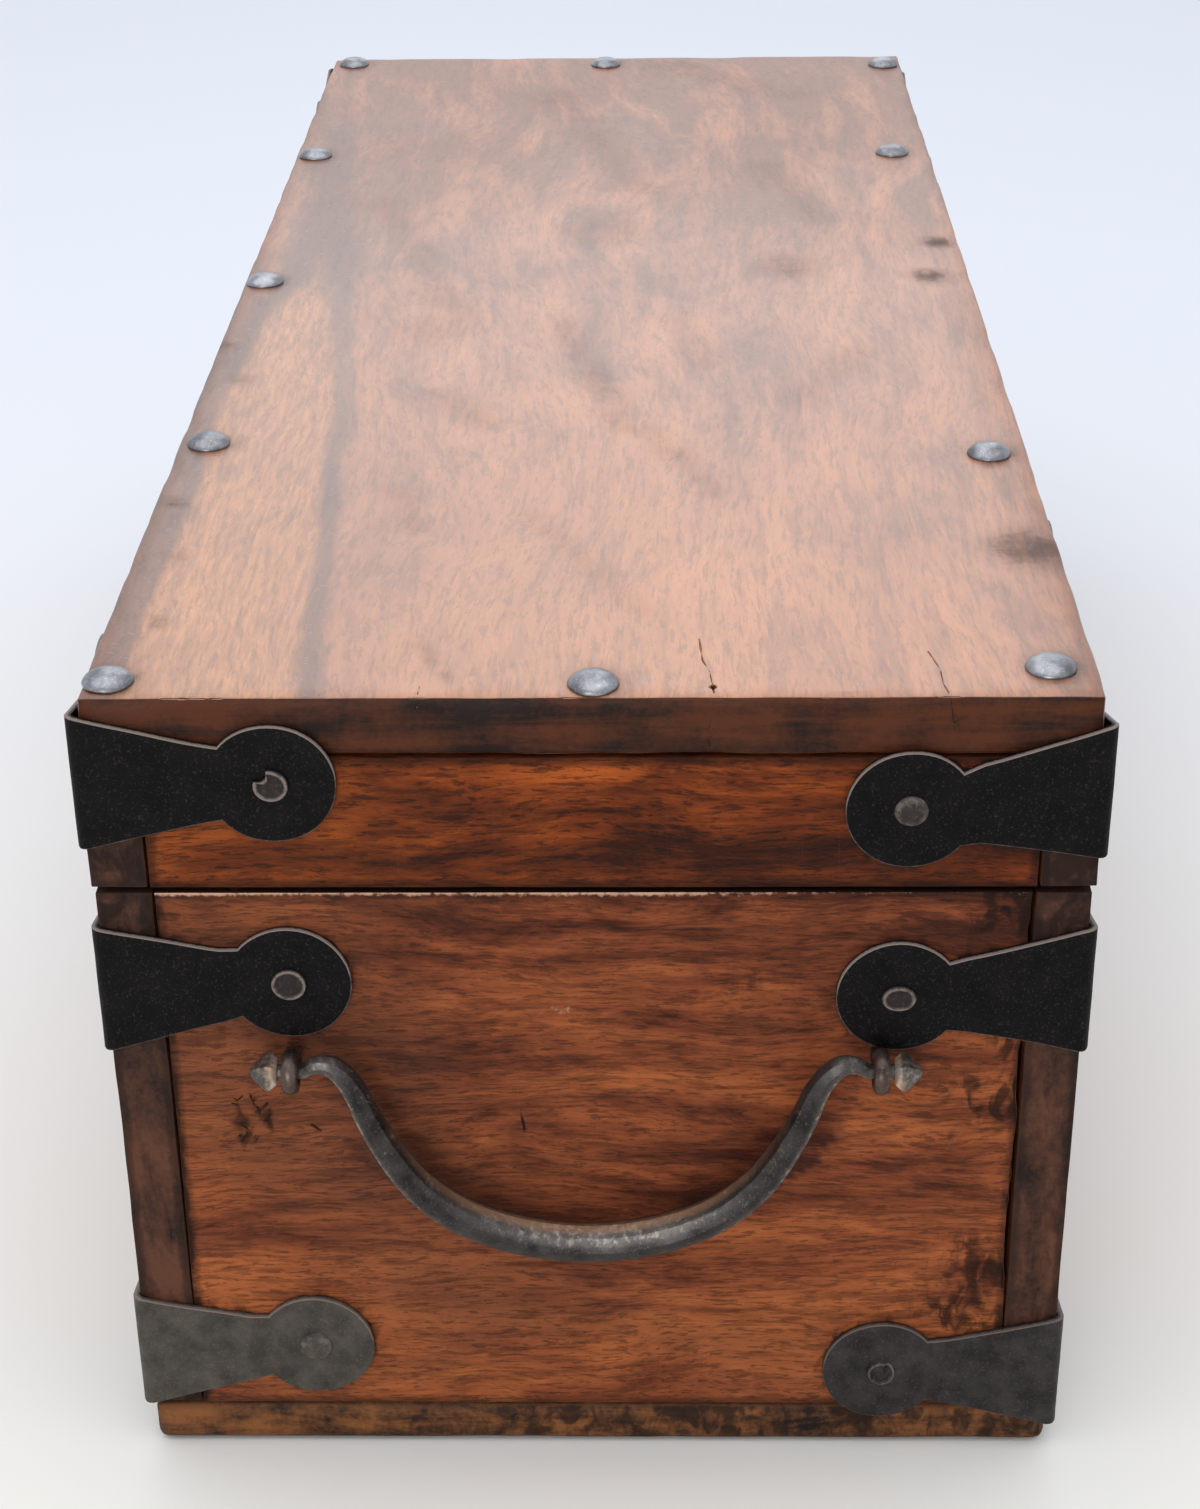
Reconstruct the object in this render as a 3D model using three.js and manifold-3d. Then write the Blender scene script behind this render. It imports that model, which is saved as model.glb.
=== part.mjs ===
// Iron-bound storage chest: a nailed hardwood box with a hinged lid, keyhole corner straps,
// a forged drop handle at each end and a hasp at the front.
// Millimetres, +Z up. Origin: centre of the underside. +X: the right-hand end, -Y: the front.

import * as THREE from 'three';
import { mergeVertices } from 'three/addons/utils/BufferGeometryUtils.js';
import Module from 'manifold-3d';

const wasm = await Module();
wasm.setup();

// Boards of the box and the lid
const chestLength = 506;
const chestHeight = 188.6;
const lidHeight = 43.1;
const boxWidth = 201.4;
const seamGap = 1;
const lidSideProud = 0.7;
const topBoardSetback = 1.1;
const bottomBoardSetback = 0.6;
const sideThickness = 11.7;
const endThickness = 11.7;
const bottomThickness = 11;
const lidTopThickness = 13.1;
const jointGap = 0.3;
const boardEase = 0.8;
const bottomEase = 2;
const cornerEaseShare = 1.5;

// Fits shared by all the ironwork
const seatGap = 0.2;
const shankClearance = 0.3;
const weldOverlap = 0.4;
const cutOverrun = 5;
const weldTolerance = 0.001;

// Keyhole corner straps, each bent from one strip
const cornerStrap = { armWidth: 29.6, neckWidth: 16, discRadius: 12.9, reach: 38.3 };
const strapThickness = 1.3;
const strapBendRadius = 1.1;

// Where the straps' corners sit: the lid's below its top, the upper ones below the rim of the box
// and the lower ones above the underside
const lidStrapDrops = { front: 18.5, back: 20.9 };
const upperStrapDrops = { front: 22.7, back: 22.9 };
const lowerStrapHeights = { front: 26.8, back: 21.4 };

// How far each strap's disc sits above its corner, as a share of the strap's reach
const lidRiseShares = { front: 0, back: -0.095 };
const upperRiseShares = { front: 0.05, back: -0.035 };
const lowerRiseShares = { front: 0.055, back: 0.015 };

// Rivets of the straps, hinges and hasp
const rivetHeadRadius = 3.7;
const rivetHeadHeight = 1.6;
const rivetShankWidth = 2.8;
const rivetDepth = 8.5;

// Dome nails round the top of the lid
const lidNailHeadRadius = 5.15;
const lidNailHeadHeight = 2.3;
const lidNailShankWidth = 2.6;
const lidNailDepth = 29;

// Nails up through the bottom board
const bottomNailHeadRadius = 3.4;
const bottomNailHeadHeight = 1.4;
const bottomNailShankWidth = 2.6;
const bottomNailDepth = 27;
const bottomNailSetback = 0.4;

// Drop handles and the eyes that carry them
const handleEyeSpacing = 121.4;
const handleOffCentre = 1.8;
const handleDrop = 43.8;
const gripRadius = 4.3;
const handleNeckRadius = 1.6;
const handleNeckClearance = 0.5;
const handleKnobHalfWidth = 3.1;
const handleKnobLength = 6.2;
const handleKnobGap = 0.65;
const eyeFaceGap = 2.1;
const eyeStrapGap = 0.26;
const legTipShare = 0.6;
const eye = {
  holeRadius: handleNeckRadius + handleNeckClearance,
  wireRadius: 1.4,
  width: 3.9,
  stemHeight: 2.6,
  legLength: 9,
  legThickness: 1.7,
};

// Fits of every hinge barrel
const pinClearance = 0.15;
const knuckleGap = 0.4;
const knuckleCount = 3;
const leafNotch = 0.5;
const pinHeadShares = { radius: 1.35, height: 0.5 };
const pinCrownShares = { radius: 0.8, height: 0.6 };

// Knuckles by number along a barrel: those at its ends and the one between them
const endKnuckles = [0, knuckleCount - 1];
const middleKnuckles = [1];

// Hinges on the back
const hingeBarrel = { pinRadius: 2.4, thickness: 1.4 };
const hingeLeaf = { armWidth: 28.5, neckWidth: 15, discRadius: 10.5 };
const lidLeaf = { ...hingeLeaf, reach: 25, knuckles: middleKnuckles };
const boxLeaf = { ...hingeLeaf, reach: 36, knuckles: endKnuckles };
const hingeNailSpacing = 22.5;

// Hasp on the front
const haspBarrel = { pinRadius: 1.8, thickness: 1.6 };
const hangerLeaf = { armWidth: 26, neckWidth: 14, discRadius: 9.5, reach: 20.5, knuckles: endKnuckles };
const haspOffCentre = 11;
const haspHingeRise = 5.5;
const haspWidth = 25;
const haspEndWidthShare = 0.86;
const haspEndMargin = 6;
const haspCurlRadius = 3.6;
const haspCurlShare = 0.8;
const haspSlotSideGap = 1.2;
const haspSlotClearance = 1.3;
const haspAjarDegrees = 23;
const staple = {
  holeRadius: 4.1,
  wireRadius: 1.55,
  width: 3.6,
  stemHeight: 5,
  legLength: 10,
  legThickness: 1.9,
};
const stapleDrop = 34;
const stapleFaceGap = 1;

// Smoothness of round shapes, in segments
const edgeSegments = 2;
const discSegments = 8;
const rivetSegments = 8;
const nailSegments = 12;
const barrelSegments = 12;
const ringSegments = 16;
const curlSegments = 4;
const squareSides = 4;
const wireSides = 8;
const gripSides = 8;
const gripSegments = 40;

// Derived places
const halfLength = chestLength / 2;
const halfWidth = boxWidth / 2;
const lidHalfWidth = halfWidth + lidSideProud;
const lidBase = chestHeight - lidHeight;
const boxHeight = lidBase - seamGap;
const boxWallBase = bottomThickness + jointGap;
const topBoardBase = chestHeight - lidTopThickness;
const lidStrapHeights = levels(lidStrapDrops, chestHeight);
const upperStrapHeights = levels(upperStrapDrops, boxHeight);
const handleStandOff = outerRadius(eye) + eyeFaceGap;
const handleHeight = lowestDisc(upperStrapHeights, upperRiseShares) - eyeStrapGap - eye.stemHeight / 2;
const handleKnobStart = eye.width / 2 + handleKnobGap;
const quarterTurn = Math.PI / 2;

// Materials, in the colours of worn rosewood and blackened iron
const topWood = new THREE.MeshStandardMaterial({ color: 0xa8623c, roughness: 0.42, metalness: 0 });
const caseWood = new THREE.MeshStandardMaterial({ color: 0x74371c, roughness: 0.48, metalness: 0 });
const blackIron = new THREE.MeshStandardMaterial({ color: 0x1d1c1e, roughness: 0.45, metalness: 0.7 });
const nailIron = new THREE.MeshStandardMaterial({ color: 0x55565a, roughness: 0.35, metalness: 0.9 });
const forgedIron = new THREE.MeshStandardMaterial({ color: 0x3b3a3a, roughness: 0.4, metalness: 0.85 });

// Holes that the shanks need, in the chest's own frame, cut from every board that they meet
const shankHoles = [];

function levels(drops, top) {
  return { front: top - drops.front, back: top - drops.back };
}

function outerRadius(ring) {
  return ring.holeRadius + 2 * ring.wireRadius;
}

function lowestDisc(heights, riseShares) {
  const front = heights.front + riseShares.front * cornerStrap.reach;
  const back = heights.back + riseShares.back * cornerStrap.reach;
  return Math.min(front, back) - cornerStrap.discRadius;
}

function solidOf(geometry) {
  const bare = geometry.index ? geometry.toNonIndexed() : geometry.clone();
  bare.deleteAttribute('normal');
  bare.deleteAttribute('uv');
  const merged = mergeVertices(bare, weldTolerance);
  const vertProperties = new Float32Array(merged.attributes.position.array);
  const triVerts = new Uint32Array(merged.index.array);
  return new wasm.Manifold(new wasm.Mesh({ numProp: 3, vertProperties, triVerts }));
}

function geometryOf(solid) {
  const mesh = solid.getMesh();
  const indexed = new THREE.BufferGeometry();
  indexed.setAttribute('position', new THREE.BufferAttribute(mesh.vertProperties, 3));
  indexed.setIndex(new THREE.BufferAttribute(mesh.triVerts, 1));
  const geometry = indexed.toNonIndexed();
  geometry.computeVertexNormals();
  return geometry;
}

function join(...geometries) {
  return geometryOf(geometries.map(solidOf).reduce((whole, piece) => whole.add(piece)));
}

function cut(geometry, ...tools) {
  return geometryOf(tools.map(solidOf).reduce((rest, tool) => rest.subtract(tool), solidOf(geometry)));
}

function overlapOf(first, second) {
  return geometryOf(solidOf(first).intersect(solidOf(second)));
}

function addPiece(parent, name, geometry, material) {
  const mesh = new THREE.Mesh(geometry, material);
  mesh.name = name;
  parent.add(mesh);
  return mesh;
}

function addHole(mesh, tool) {
  mesh.updateWorldMatrix(true, false);
  const hole = tool.clone().applyMatrix4(mesh.matrixWorld);
  hole.computeBoundingBox();
  shankHoles.push(hole);
}

// Boards

function easedBlock(length, width, height, ease) {
  const corner = ease * cornerEaseShare;
  const x = length / 2;
  const y = width / 2;
  const outline = new THREE.Shape();
  outline.moveTo(corner - x, -y);
  outline.lineTo(x - corner, -y);
  outline.absarc(x - corner, corner - y, corner, -quarterTurn, 0);
  outline.lineTo(x, y - corner);
  outline.absarc(x - corner, y - corner, corner, 0, quarterTurn);
  outline.lineTo(corner - x, y);
  outline.absarc(corner - x, y - corner, corner, quarterTurn, Math.PI);
  outline.lineTo(-x, corner - y);
  outline.absarc(corner - x, corner - y, corner, Math.PI, Math.PI + quarterTurn);
  const block = new THREE.ExtrudeGeometry(outline, {
    depth: height - 2 * ease,
    curveSegments: 1,
    bevelThickness: ease,
    bevelSize: ease,
    bevelOffset: -ease,
    bevelSegments: edgeSegments,
  });
  return block.translate(0, 0, ease);
}

function addBoard(parent, name, size, centre, material, ease = boardEase) {
  const blank = easedBlock(size.x, size.y, size.z, ease);
  const board = addPiece(parent, name, blank, material);
  board.position.copy(centre);
  board.updateWorldMatrix(true, false);
  const bounds = new THREE.Box3().setFromObject(board);
  const toBoard = board.matrixWorld.clone().invert();
  const tools = shankHoles.filter((hole) => hole.boundingBox.intersectsBox(bounds));
  if (tools.length > 0) {
    board.geometry = cut(blank, ...tools.map((hole) => hole.clone().applyMatrix4(toBoard)));
  }
  return board;
}

function addBoxBoards(box) {
  const wallHeight = boxHeight - boxWallBase;
  const endWidth = boxWidth - 2 * (sideThickness + jointGap);
  const sideY = halfWidth - sideThickness / 2;
  const endX = halfLength - endThickness / 2;
  const side = new THREE.Vector3(chestLength, sideThickness, wallHeight);
  const end = new THREE.Vector3(endThickness, endWidth, wallHeight);
  const bottomWidth = boxWidth - 2 * bottomBoardSetback;
  const bottom = new THREE.Vector3(chestLength, bottomWidth, bottomThickness);
  addBoard(box, 'bottom_board', bottom, new THREE.Vector3(0, 0, 0), caseWood, bottomEase);
  addBoard(box, 'front_board', side, new THREE.Vector3(0, -sideY, boxWallBase), caseWood);
  addBoard(box, 'back_board', side, new THREE.Vector3(0, sideY, boxWallBase), caseWood);
  addBoard(box, 'right_end_board', end, new THREE.Vector3(endX, 0, boxWallBase), caseWood);
  addBoard(box, 'left_end_board', end, new THREE.Vector3(-endX, 0, boxWallBase), caseWood);
}

function addLidBoards(lid) {
  const railHeight = topBoardBase - jointGap - lidBase;
  const endWidth = 2 * (lidHalfWidth - sideThickness - jointGap);
  const sideY = lidHalfWidth - sideThickness / 2;
  const endX = halfLength - endThickness / 2;
  const side = new THREE.Vector3(chestLength, sideThickness, railHeight);
  const end = new THREE.Vector3(endThickness, endWidth, railHeight);
  const topWidth = 2 * (lidHalfWidth - topBoardSetback);
  const top = new THREE.Vector3(chestLength, topWidth, lidTopThickness);
  addBoard(lid, 'lid_top_board', top, new THREE.Vector3(0, 0, topBoardBase), topWood);
  addBoard(lid, 'lid_front_rail', side, new THREE.Vector3(0, -sideY, lidBase), caseWood);
  addBoard(lid, 'lid_back_rail', side, new THREE.Vector3(0, sideY, lidBase), caseWood);
  addBoard(lid, 'lid_right_rail', end, new THREE.Vector3(endX, 0, lidBase), caseWood);
  addBoard(lid, 'lid_left_rail', end, new THREE.Vector3(-endX, 0, lidBase), caseWood);
}

// Fasteners: a head on top of z = 0 and a square shank that tapers downwards

const domeShares = [[0, 0], [1, 0], [0.92, 0.4], [0.56, 0.85], [0, 1]];

function domeHead(radius, height, segments) {
  const profile = domeShares.map(([r, h]) => new THREE.Vector2(r * radius, h * height));
  return new THREE.LatheGeometry(profile, segments).rotateX(quarterTurn);
}

function squareShank(width, depth, start, growth) {
  const tipShare = 0.55;
  const corner = (width / 2 + growth) * Math.SQRT2;
  const tipCorner = (width * tipShare / 2 + growth) * Math.SQRT2;
  const length = start + depth + growth;
  const shank = new THREE.CylinderGeometry(corner, tipCorner, length, squareSides);
  return shank.rotateY(quarterTurn / 2).rotateX(quarterTurn).translate(0, 0, start - length / 2);
}

function rivet(stripThickness) {
  const head = domeHead(rivetHeadRadius, rivetHeadHeight + weldOverlap, rivetSegments);
  const shank = squareShank(rivetShankWidth, rivetDepth, stripThickness / 2, 0);
  return join(head.translate(0, 0, stripThickness - weldOverlap), shank);
}

function rivetHole() {
  return squareShank(rivetShankWidth, rivetDepth, cutOverrun, shankClearance);
}

// Keyhole plate outline: arm along +x from x = 0, disc at its end, hung off centre by rise

function keyholeShape(size, reach, lead, rise) {
  const armHalf = size.armWidth / 2;
  const neckHalf = size.neckWidth / 2;
  const waistShare = 0.45;
  const notchAngle = Math.asin(neckHalf / size.discRadius);
  const notchX = reach - size.discRadius * Math.cos(notchAngle);
  const waistX = notchX * waistShare;
  const waistHalf = armHalf * waistShare + neckHalf * (1 - waistShare);
  const shape = new THREE.Shape();
  shape.moveTo(-lead, -armHalf);
  shape.lineTo(0, -armHalf);
  shape.lineTo(waistX, rise * waistShare - waistHalf);
  shape.lineTo(notchX, rise - neckHalf);
  shape.absarc(reach, rise, size.discRadius, notchAngle - Math.PI, Math.PI - notchAngle);
  shape.lineTo(waistX, rise * waistShare + waistHalf);
  shape.lineTo(0, armHalf);
  shape.lineTo(-lead, armHalf);
  return shape;
}

function plate(shape, thickness) {
  return new THREE.ExtrudeGeometry(shape, {
    depth: thickness,
    curveSegments: discSegments,
    bevelEnabled: false,
  });
}

// Corner straps. The corner of the box is at the origin, with the box at x < 0 and y > 0.
// One leg lies on the face at x = 0 and runs along +y, the other on y = 0 along -x.

function bentStrip(reach, height) {
  const outer = strapBendRadius + strapThickness;
  const face = seatGap + strapThickness;
  const bend = face - outer;
  const plan = new THREE.Shape();
  plan.moveTo(seatGap, reach);
  plan.lineTo(seatGap, -bend);
  plan.absarc(bend, -bend, strapBendRadius, 0, -quarterTurn, true);
  plan.lineTo(-reach, -seatGap);
  plan.lineTo(-reach, -face);
  plan.lineTo(bend, -face);
  plan.absarc(bend, -bend, outer, -quarterTurn, 0);
  plan.lineTo(face, reach);
  const strip = new THREE.ExtrudeGeometry(plan, {
    depth: height,
    curveSegments: edgeSegments,
    bevelEnabled: false,
  });
  return strip.translate(0, 0, -height / 2);
}

function cornerStrapGeometry(endRise, sideRise) {
  const lead = seatGap + strapThickness + cutOverrun;
  const reach = cornerStrap.reach + cornerStrap.discRadius + cutOverrun;
  const punchDepth = strapBendRadius + strapThickness + cutOverrun;
  const endPunch = plate(keyholeShape(cornerStrap, cornerStrap.reach, lead, endRise), punchDepth);
  endPunch.rotateX(quarterTurn).rotateZ(quarterTurn);
  endPunch.translate(seatGap - strapBendRadius, 0, 0);
  const sidePunch = plate(keyholeShape(cornerStrap, cornerStrap.reach, lead, sideRise), punchDepth);
  sidePunch.rotateX(quarterTurn).rotateZ(Math.PI);
  sidePunch.translate(0, strapBendRadius - seatGap - punchDepth, 0);
  const strip = bentStrip(reach, 2 * cornerStrap.armWidth);
  const strap = overlapOf(strip, join(endPunch, sidePunch));
  const endRivet = rivet(strapThickness);
  endRivet.rotateY(quarterTurn).translate(seatGap, cornerStrap.reach, endRise);
  const sideRivet = rivet(strapThickness);
  sideRivet.rotateX(quarterTurn).translate(-cornerStrap.reach, -seatGap, sideRise);
  return join(strap, endRivet, sideRivet);
}

function addCornerStrap(parent, name, corner, turn, endRise, sideRise) {
  const strap = addPiece(parent, name, cornerStrapGeometry(endRise, sideRise), blackIron);
  strap.position.copy(corner);
  strap.rotation.z = turn;
  const endHole = rivetHole().rotateY(quarterTurn).translate(0, cornerStrap.reach, endRise);
  const sideHole = rivetHole().rotateX(quarterTurn).translate(-cornerStrap.reach, 0, sideRise);
  addHole(strap, endHole);
  addHole(strap, sideHole);
}

function addStrapRow(parent, row, cornerY, heights, riseShares) {
  const reach = cornerStrap.reach;
  const frontRise = riseShares.front * reach;
  const backRise = riseShares.back * reach;
  const place = (x, y, z) => new THREE.Vector3(x, y, z);
  const frontRight = place(halfLength, -cornerY, heights.front);
  const backRight = place(halfLength, cornerY, heights.back);
  const backLeft = place(-halfLength, cornerY, heights.back);
  const frontLeft = place(-halfLength, -cornerY, heights.front);
  addCornerStrap(parent, row + '_front_right', frontRight, 0, frontRise, frontRise);
  addCornerStrap(parent, row + '_back_right', backRight, quarterTurn, backRise, backRise);
  addCornerStrap(parent, row + '_back_left', backLeft, Math.PI, backRise, backRise);
  addCornerStrap(parent, row + '_front_left', frontLeft, -quarterTurn, frontRise, frontRise);
}

// Nails of the lid's top board, as shares of half the length and half the width.
// Each shank leans so that its point ends in the middle of the rail below.
const frontNailShares = [
  [0.972, -0.943],
  [0.472, -0.923],
  [-0.005, -0.938],
  [-0.503, -0.933],
  [-0.964, -0.92],
];
const backNailShares = [[0.952, 0.9], [0.504, 0.902], [-0.502, 0.876], [-0.945, 0.932]];
const endNailShares = [[0.978, 0.005], [-0.955, -0.035]];

function leaningShank(growth, start, lean) {
  const shank = squareShank(lidNailShankWidth, lidNailDepth, start, growth);
  const shear = new THREE.Matrix4().makeShear(0, 0, 0, 0, -lean.x / lidNailDepth, -lean.y / lidNailDepth);
  return shank.applyMatrix4(shear);
}

function addLidNail(lid, name, shares, point) {
  const head = domeHead(lidNailHeadRadius, lidNailHeadHeight, nailSegments);
  const x = shares[0] * halfLength;
  const y = shares[1] * halfWidth;
  const lean = new THREE.Vector2(point.x - x, point.y - y);
  const shank = leaningShank(0, weldOverlap, lean);
  const nail = addPiece(lid, name, join(head, shank), nailIron);
  nail.position.set(x, y, chestHeight + seatGap);
  addHole(nail, leaningShank(shankClearance, cutOverrun, lean));
}

function addLidNails(lid) {
  const railY = lidHalfWidth - sideThickness / 2;
  const railX = halfLength - endThickness / 2;
  frontNailShares.forEach((shares, i) => {
    const point = new THREE.Vector2(shares[0] * halfLength, -railY);
    addLidNail(lid, 'lid_nail_front_' + (i + 1), shares, point);
  });
  backNailShares.forEach((shares, i) => {
    const point = new THREE.Vector2(shares[0] * halfLength, railY);
    addLidNail(lid, 'lid_nail_back_' + (i + 1), shares, point);
  });
  endNailShares.forEach((shares, i) => {
    const point = new THREE.Vector2(Math.sign(shares[0]) * railX, shares[1] * halfWidth);
    addLidNail(lid, 'lid_nail_end_' + (i + 1), shares, point);
  });
}

// Bottom nails, driven upwards, their heads sunk a little into the underside
const bottomNailShares = [-0.75, 0, 0.75];

function bottomNail(growth, start) {
  const radius = bottomNailHeadRadius + growth;
  const seat = new THREE.CylinderGeometry(radius, radius, bottomNailHeadHeight + start, rivetSegments);
  seat.rotateX(quarterTurn).translate(0, 0, (start - bottomNailHeadHeight) / 2);
  const shank = squareShank(bottomNailShankWidth, bottomNailDepth, -bottomNailHeadHeight / 2, growth);
  return join(seat, shank).rotateX(Math.PI);
}

function addBottomNail(box, name, x, y) {
  const nail = addPiece(box, name, bottomNail(0, 0), nailIron);
  nail.position.set(x, y, bottomNailSetback);
  addHole(nail, bottomNail(shankClearance, cutOverrun).translate(0, 0, shankClearance));
}

function addBottomNails(box) {
  const railY = halfWidth - sideThickness / 2;
  const railX = halfLength - endThickness / 2;
  bottomNailShares.forEach((share, i) => {
    addBottomNail(box, 'bottom_nail_front_' + (i + 1), share * halfLength, -railY);
    addBottomNail(box, 'bottom_nail_back_' + (i + 1), share * halfLength, railY);
  });
  addBottomNail(box, 'bottom_nail_right', railX, 0);
  addBottomNail(box, 'bottom_nail_left', -railX, 0);
}

// Split eyes: a loop that stands off the wood, and two legs opened flat behind the board.
// The wood's face is at x = 0, outwards is +x, and the loop's hole runs along y.

function splitEye(size, standOff, boardThickness) {
  const middle = size.holeRadius + size.wireRadius;
  const loop = new THREE.TorusGeometry(middle, size.wireRadius, wireSides, ringSegments);
  loop.scale(1, 1, size.width / (2 * size.wireRadius)).rotateX(quarterTurn).translate(standOff, 0, 0);
  const stemHalf = size.stemHeight / 2;
  const back = -boardThickness - seatGap;
  const legBack = back - size.legThickness;
  const tipBack = back - size.legThickness * legTipShare;
  const outline = new THREE.Shape();
  outline.moveTo(standOff - middle, stemHalf);
  outline.lineTo(back, stemHalf);
  outline.lineTo(back, size.legLength);
  outline.lineTo(tipBack, size.legLength);
  outline.lineTo(legBack, stemHalf);
  outline.lineTo(legBack, -stemHalf);
  outline.lineTo(tipBack, -size.legLength);
  outline.lineTo(back, -size.legLength);
  outline.lineTo(back, -stemHalf);
  outline.lineTo(standOff - middle, -stemHalf);
  const legs = plate(outline, size.width);
  legs.translate(0, 0, -size.width / 2).rotateX(quarterTurn);
  return join(loop, legs);
}

function splitEyeHole(size, boardThickness) {
  const length = boardThickness + 2 * cutOverrun;
  const width = size.width + 2 * shankClearance;
  const height = size.stemHeight + 2 * shankClearance;
  return new THREE.BoxGeometry(length, width, height).translate(-boardThickness / 2, 0, 0);
}

function addSplitEye(parent, name, size, standOff, boardThickness, place, turn) {
  const piece = addPiece(parent, name, splitEye(size, standOff, boardThickness), forgedIron);
  piece.position.copy(place);
  piece.rotation.z = turn;
  addHole(piece, splitEyeHole(size, boardThickness));
}

// Drop handle: a forged bar along a drawn-down curve, thickest at the grip, with a neck
// through each eye and a square pointed knob outside it.
// Each row: place across as a share of half the spacing, drop as a share of the handle's drop,
// and how far the bar has swelled from neck to grip.
const bailShares = [
  [1, 0, 0],
  [0.957, -0.006, 0],
  [0.92, -0.034, 0.09],
  [0.87, -0.034, 0.235],
  [0.825, 0.02, 0.36],
  [0.785, 0.115, 0.46],
  [0.75, 0.25, 0.555],
  [0.715, 0.365, 0.635],
  [0.66, 0.51, 0.73],
  [0.59, 0.655, 0.825],
  [0.49, 0.79, 0.905],
  [0.385, 0.88, 0.95],
  [0.265, 0.945, 0.985],
  [0.14, 0.985, 1],
];

function bailStations() {
  const half = handleEyeSpacing / 2;
  const necks = handleKnobStart + weldOverlap;
  const swell = gripRadius - handleNeckRadius;
  const arm = bailShares.map(([across, drop, swelled]) => {
    return [across * half, -drop * handleDrop, handleNeckRadius + swelled * swell];
  });
  const end = [half + necks, 0, handleNeckRadius];
  const right = [end, ...arm];
  const left = right.map(([across, height, radius]) => [-across, height, radius]).reverse();
  return [...right, [0, -handleDrop, gripRadius], ...left];
}

function bailBar() {
  const stations = bailStations();
  const curve = new THREE.CatmullRomCurve3(stations.map(([y, z, r]) => new THREE.Vector3(r, y, z)));
  const positions = [];
  const rings = gripSegments + 1;
  for (let i = 0; i < rings; i += 1) {
    const at = i / gripSegments;
    const point = curve.getPoint(at);
    const tangent = curve.getTangent(at);
    const slope = Math.atan2(tangent.z, tangent.y);
    for (let side = 0; side < gripSides; side += 1) {
      const angle = ((side + 0.5) / gripSides) * 2 * Math.PI;
      const out = point.x * Math.cos(angle);
      const across = point.x * Math.sin(angle);
      positions.push(out, point.y - across * Math.sin(slope), point.z + across * Math.cos(slope));
    }
  }
  return sleeve(positions, rings, gripSides);
}

// A closed skin over rings of points: quads between the rings and a fan over each end
function sleeve(positions, rings, sides) {
  const index = [];
  for (let ring = 0; ring < rings - 1; ring += 1) {
    for (let side = 0; side < sides; side += 1) {
      const a = ring * sides + side;
      const b = ring * sides + ((side + 1) % sides);
      index.push(a, a + sides, b, b, a + sides, b + sides);
    }
  }
  const last = (rings - 1) * sides;
  for (let side = 1; side < sides - 1; side += 1) {
    index.push(0, side, side + 1);
    index.push(last, last + side + 1, last + side);
  }
  const skin = new THREE.BufferGeometry();
  skin.setAttribute('position', new THREE.Float32BufferAttribute(positions, 3));
  skin.setIndex(index);
  return skin;
}

function bailKnob() {
  const corner = handleKnobHalfWidth * Math.SQRT2;
  const knobShares = [[0, 0], [0.8, 0], [1, 0.22], [0.08, 1], [0, 1]];
  const profile = knobShares.map(([r, h]) => new THREE.Vector2(r * corner, h * handleKnobLength));
  const knob = new THREE.LatheGeometry(profile, squareSides, quarterTurn / 2);
  return knob.translate(0, handleEyeSpacing / 2 + handleKnobStart, 0);
}

function bailGeometry() {
  return join(bailBar(), bailKnob(), bailKnob().rotateZ(Math.PI));
}

function addHandleEyes(box, name, turn) {
  const direction = Math.cos(turn);
  const x = direction * halfLength;
  [-1, 1].forEach((side) => {
    const y = direction * (side * handleEyeSpacing / 2 - handleOffCentre);
    const place = new THREE.Vector3(x, y, handleHeight);
    const label = y < 0 ? '_eye_front' : '_eye_back';
    addSplitEye(box, name + label, eye, handleStandOff, endThickness, place, turn);
  });
}

function addHandle(parent, name, turn) {
  const direction = Math.cos(turn);
  const bail = addPiece(parent, name, bailGeometry(), forgedIron);
  const x = direction * (halfLength + handleStandOff);
  bail.position.set(x, -direction * handleOffCentre, handleHeight);
  bail.rotation.z = turn;
}

// Hinge leaves. The barrel runs along x through the origin, outwards is -y, and the leaf
// stands up from the barrel. A sink sets the leaf further back than the barrel.

function barrelRadius(barrel) {
  return barrel.pinRadius + pinClearance + barrel.thickness;
}

function knuckleSpan(width, number) {
  const pitch = width / knuckleCount;
  return { start: number * pitch - width / 2 + knuckleGap / 2, length: pitch - knuckleGap };
}

function knuckle(span, barrel) {
  const outer = barrelRadius(barrel);
  const inner = barrel.pinRadius + pinClearance;
  const corners = [[inner, 0], [outer, 0], [outer, span.length], [inner, span.length], [inner, 0]];
  const profile = corners.map(([r, h]) => new THREE.Vector2(r, h));
  const tube = new THREE.LatheGeometry(profile, barrelSegments);
  return tube.rotateZ(-quarterTurn).translate(span.start, 0, 0);
}

function knuckleTab(span, barrel, sink) {
  const outer = barrelRadius(barrel);
  const boreRadius = barrel.pinRadius + pinClearance;
  const middle = span.start + span.length / 2;
  const height = outer + leafNotch + weldOverlap;
  const depth = barrel.thickness + sink;
  const tab = new THREE.BoxGeometry(span.length, depth, height);
  tab.translate(middle, outer - barrel.thickness + depth / 2, height / 2);
  const bore = new THREE.CylinderGeometry(boreRadius, boreRadius, span.length + cutOverrun);
  bore.rotateZ(quarterTurn).translate(middle, 0, 0);
  return cut(tab, bore);
}

function leafRivetHeights(leaf, barrel) {
  const nearBarrel = barrelRadius(barrel) + leafNotch + rivetHeadRadius + seatGap;
  return [leaf.reach, nearBarrel];
}

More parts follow.
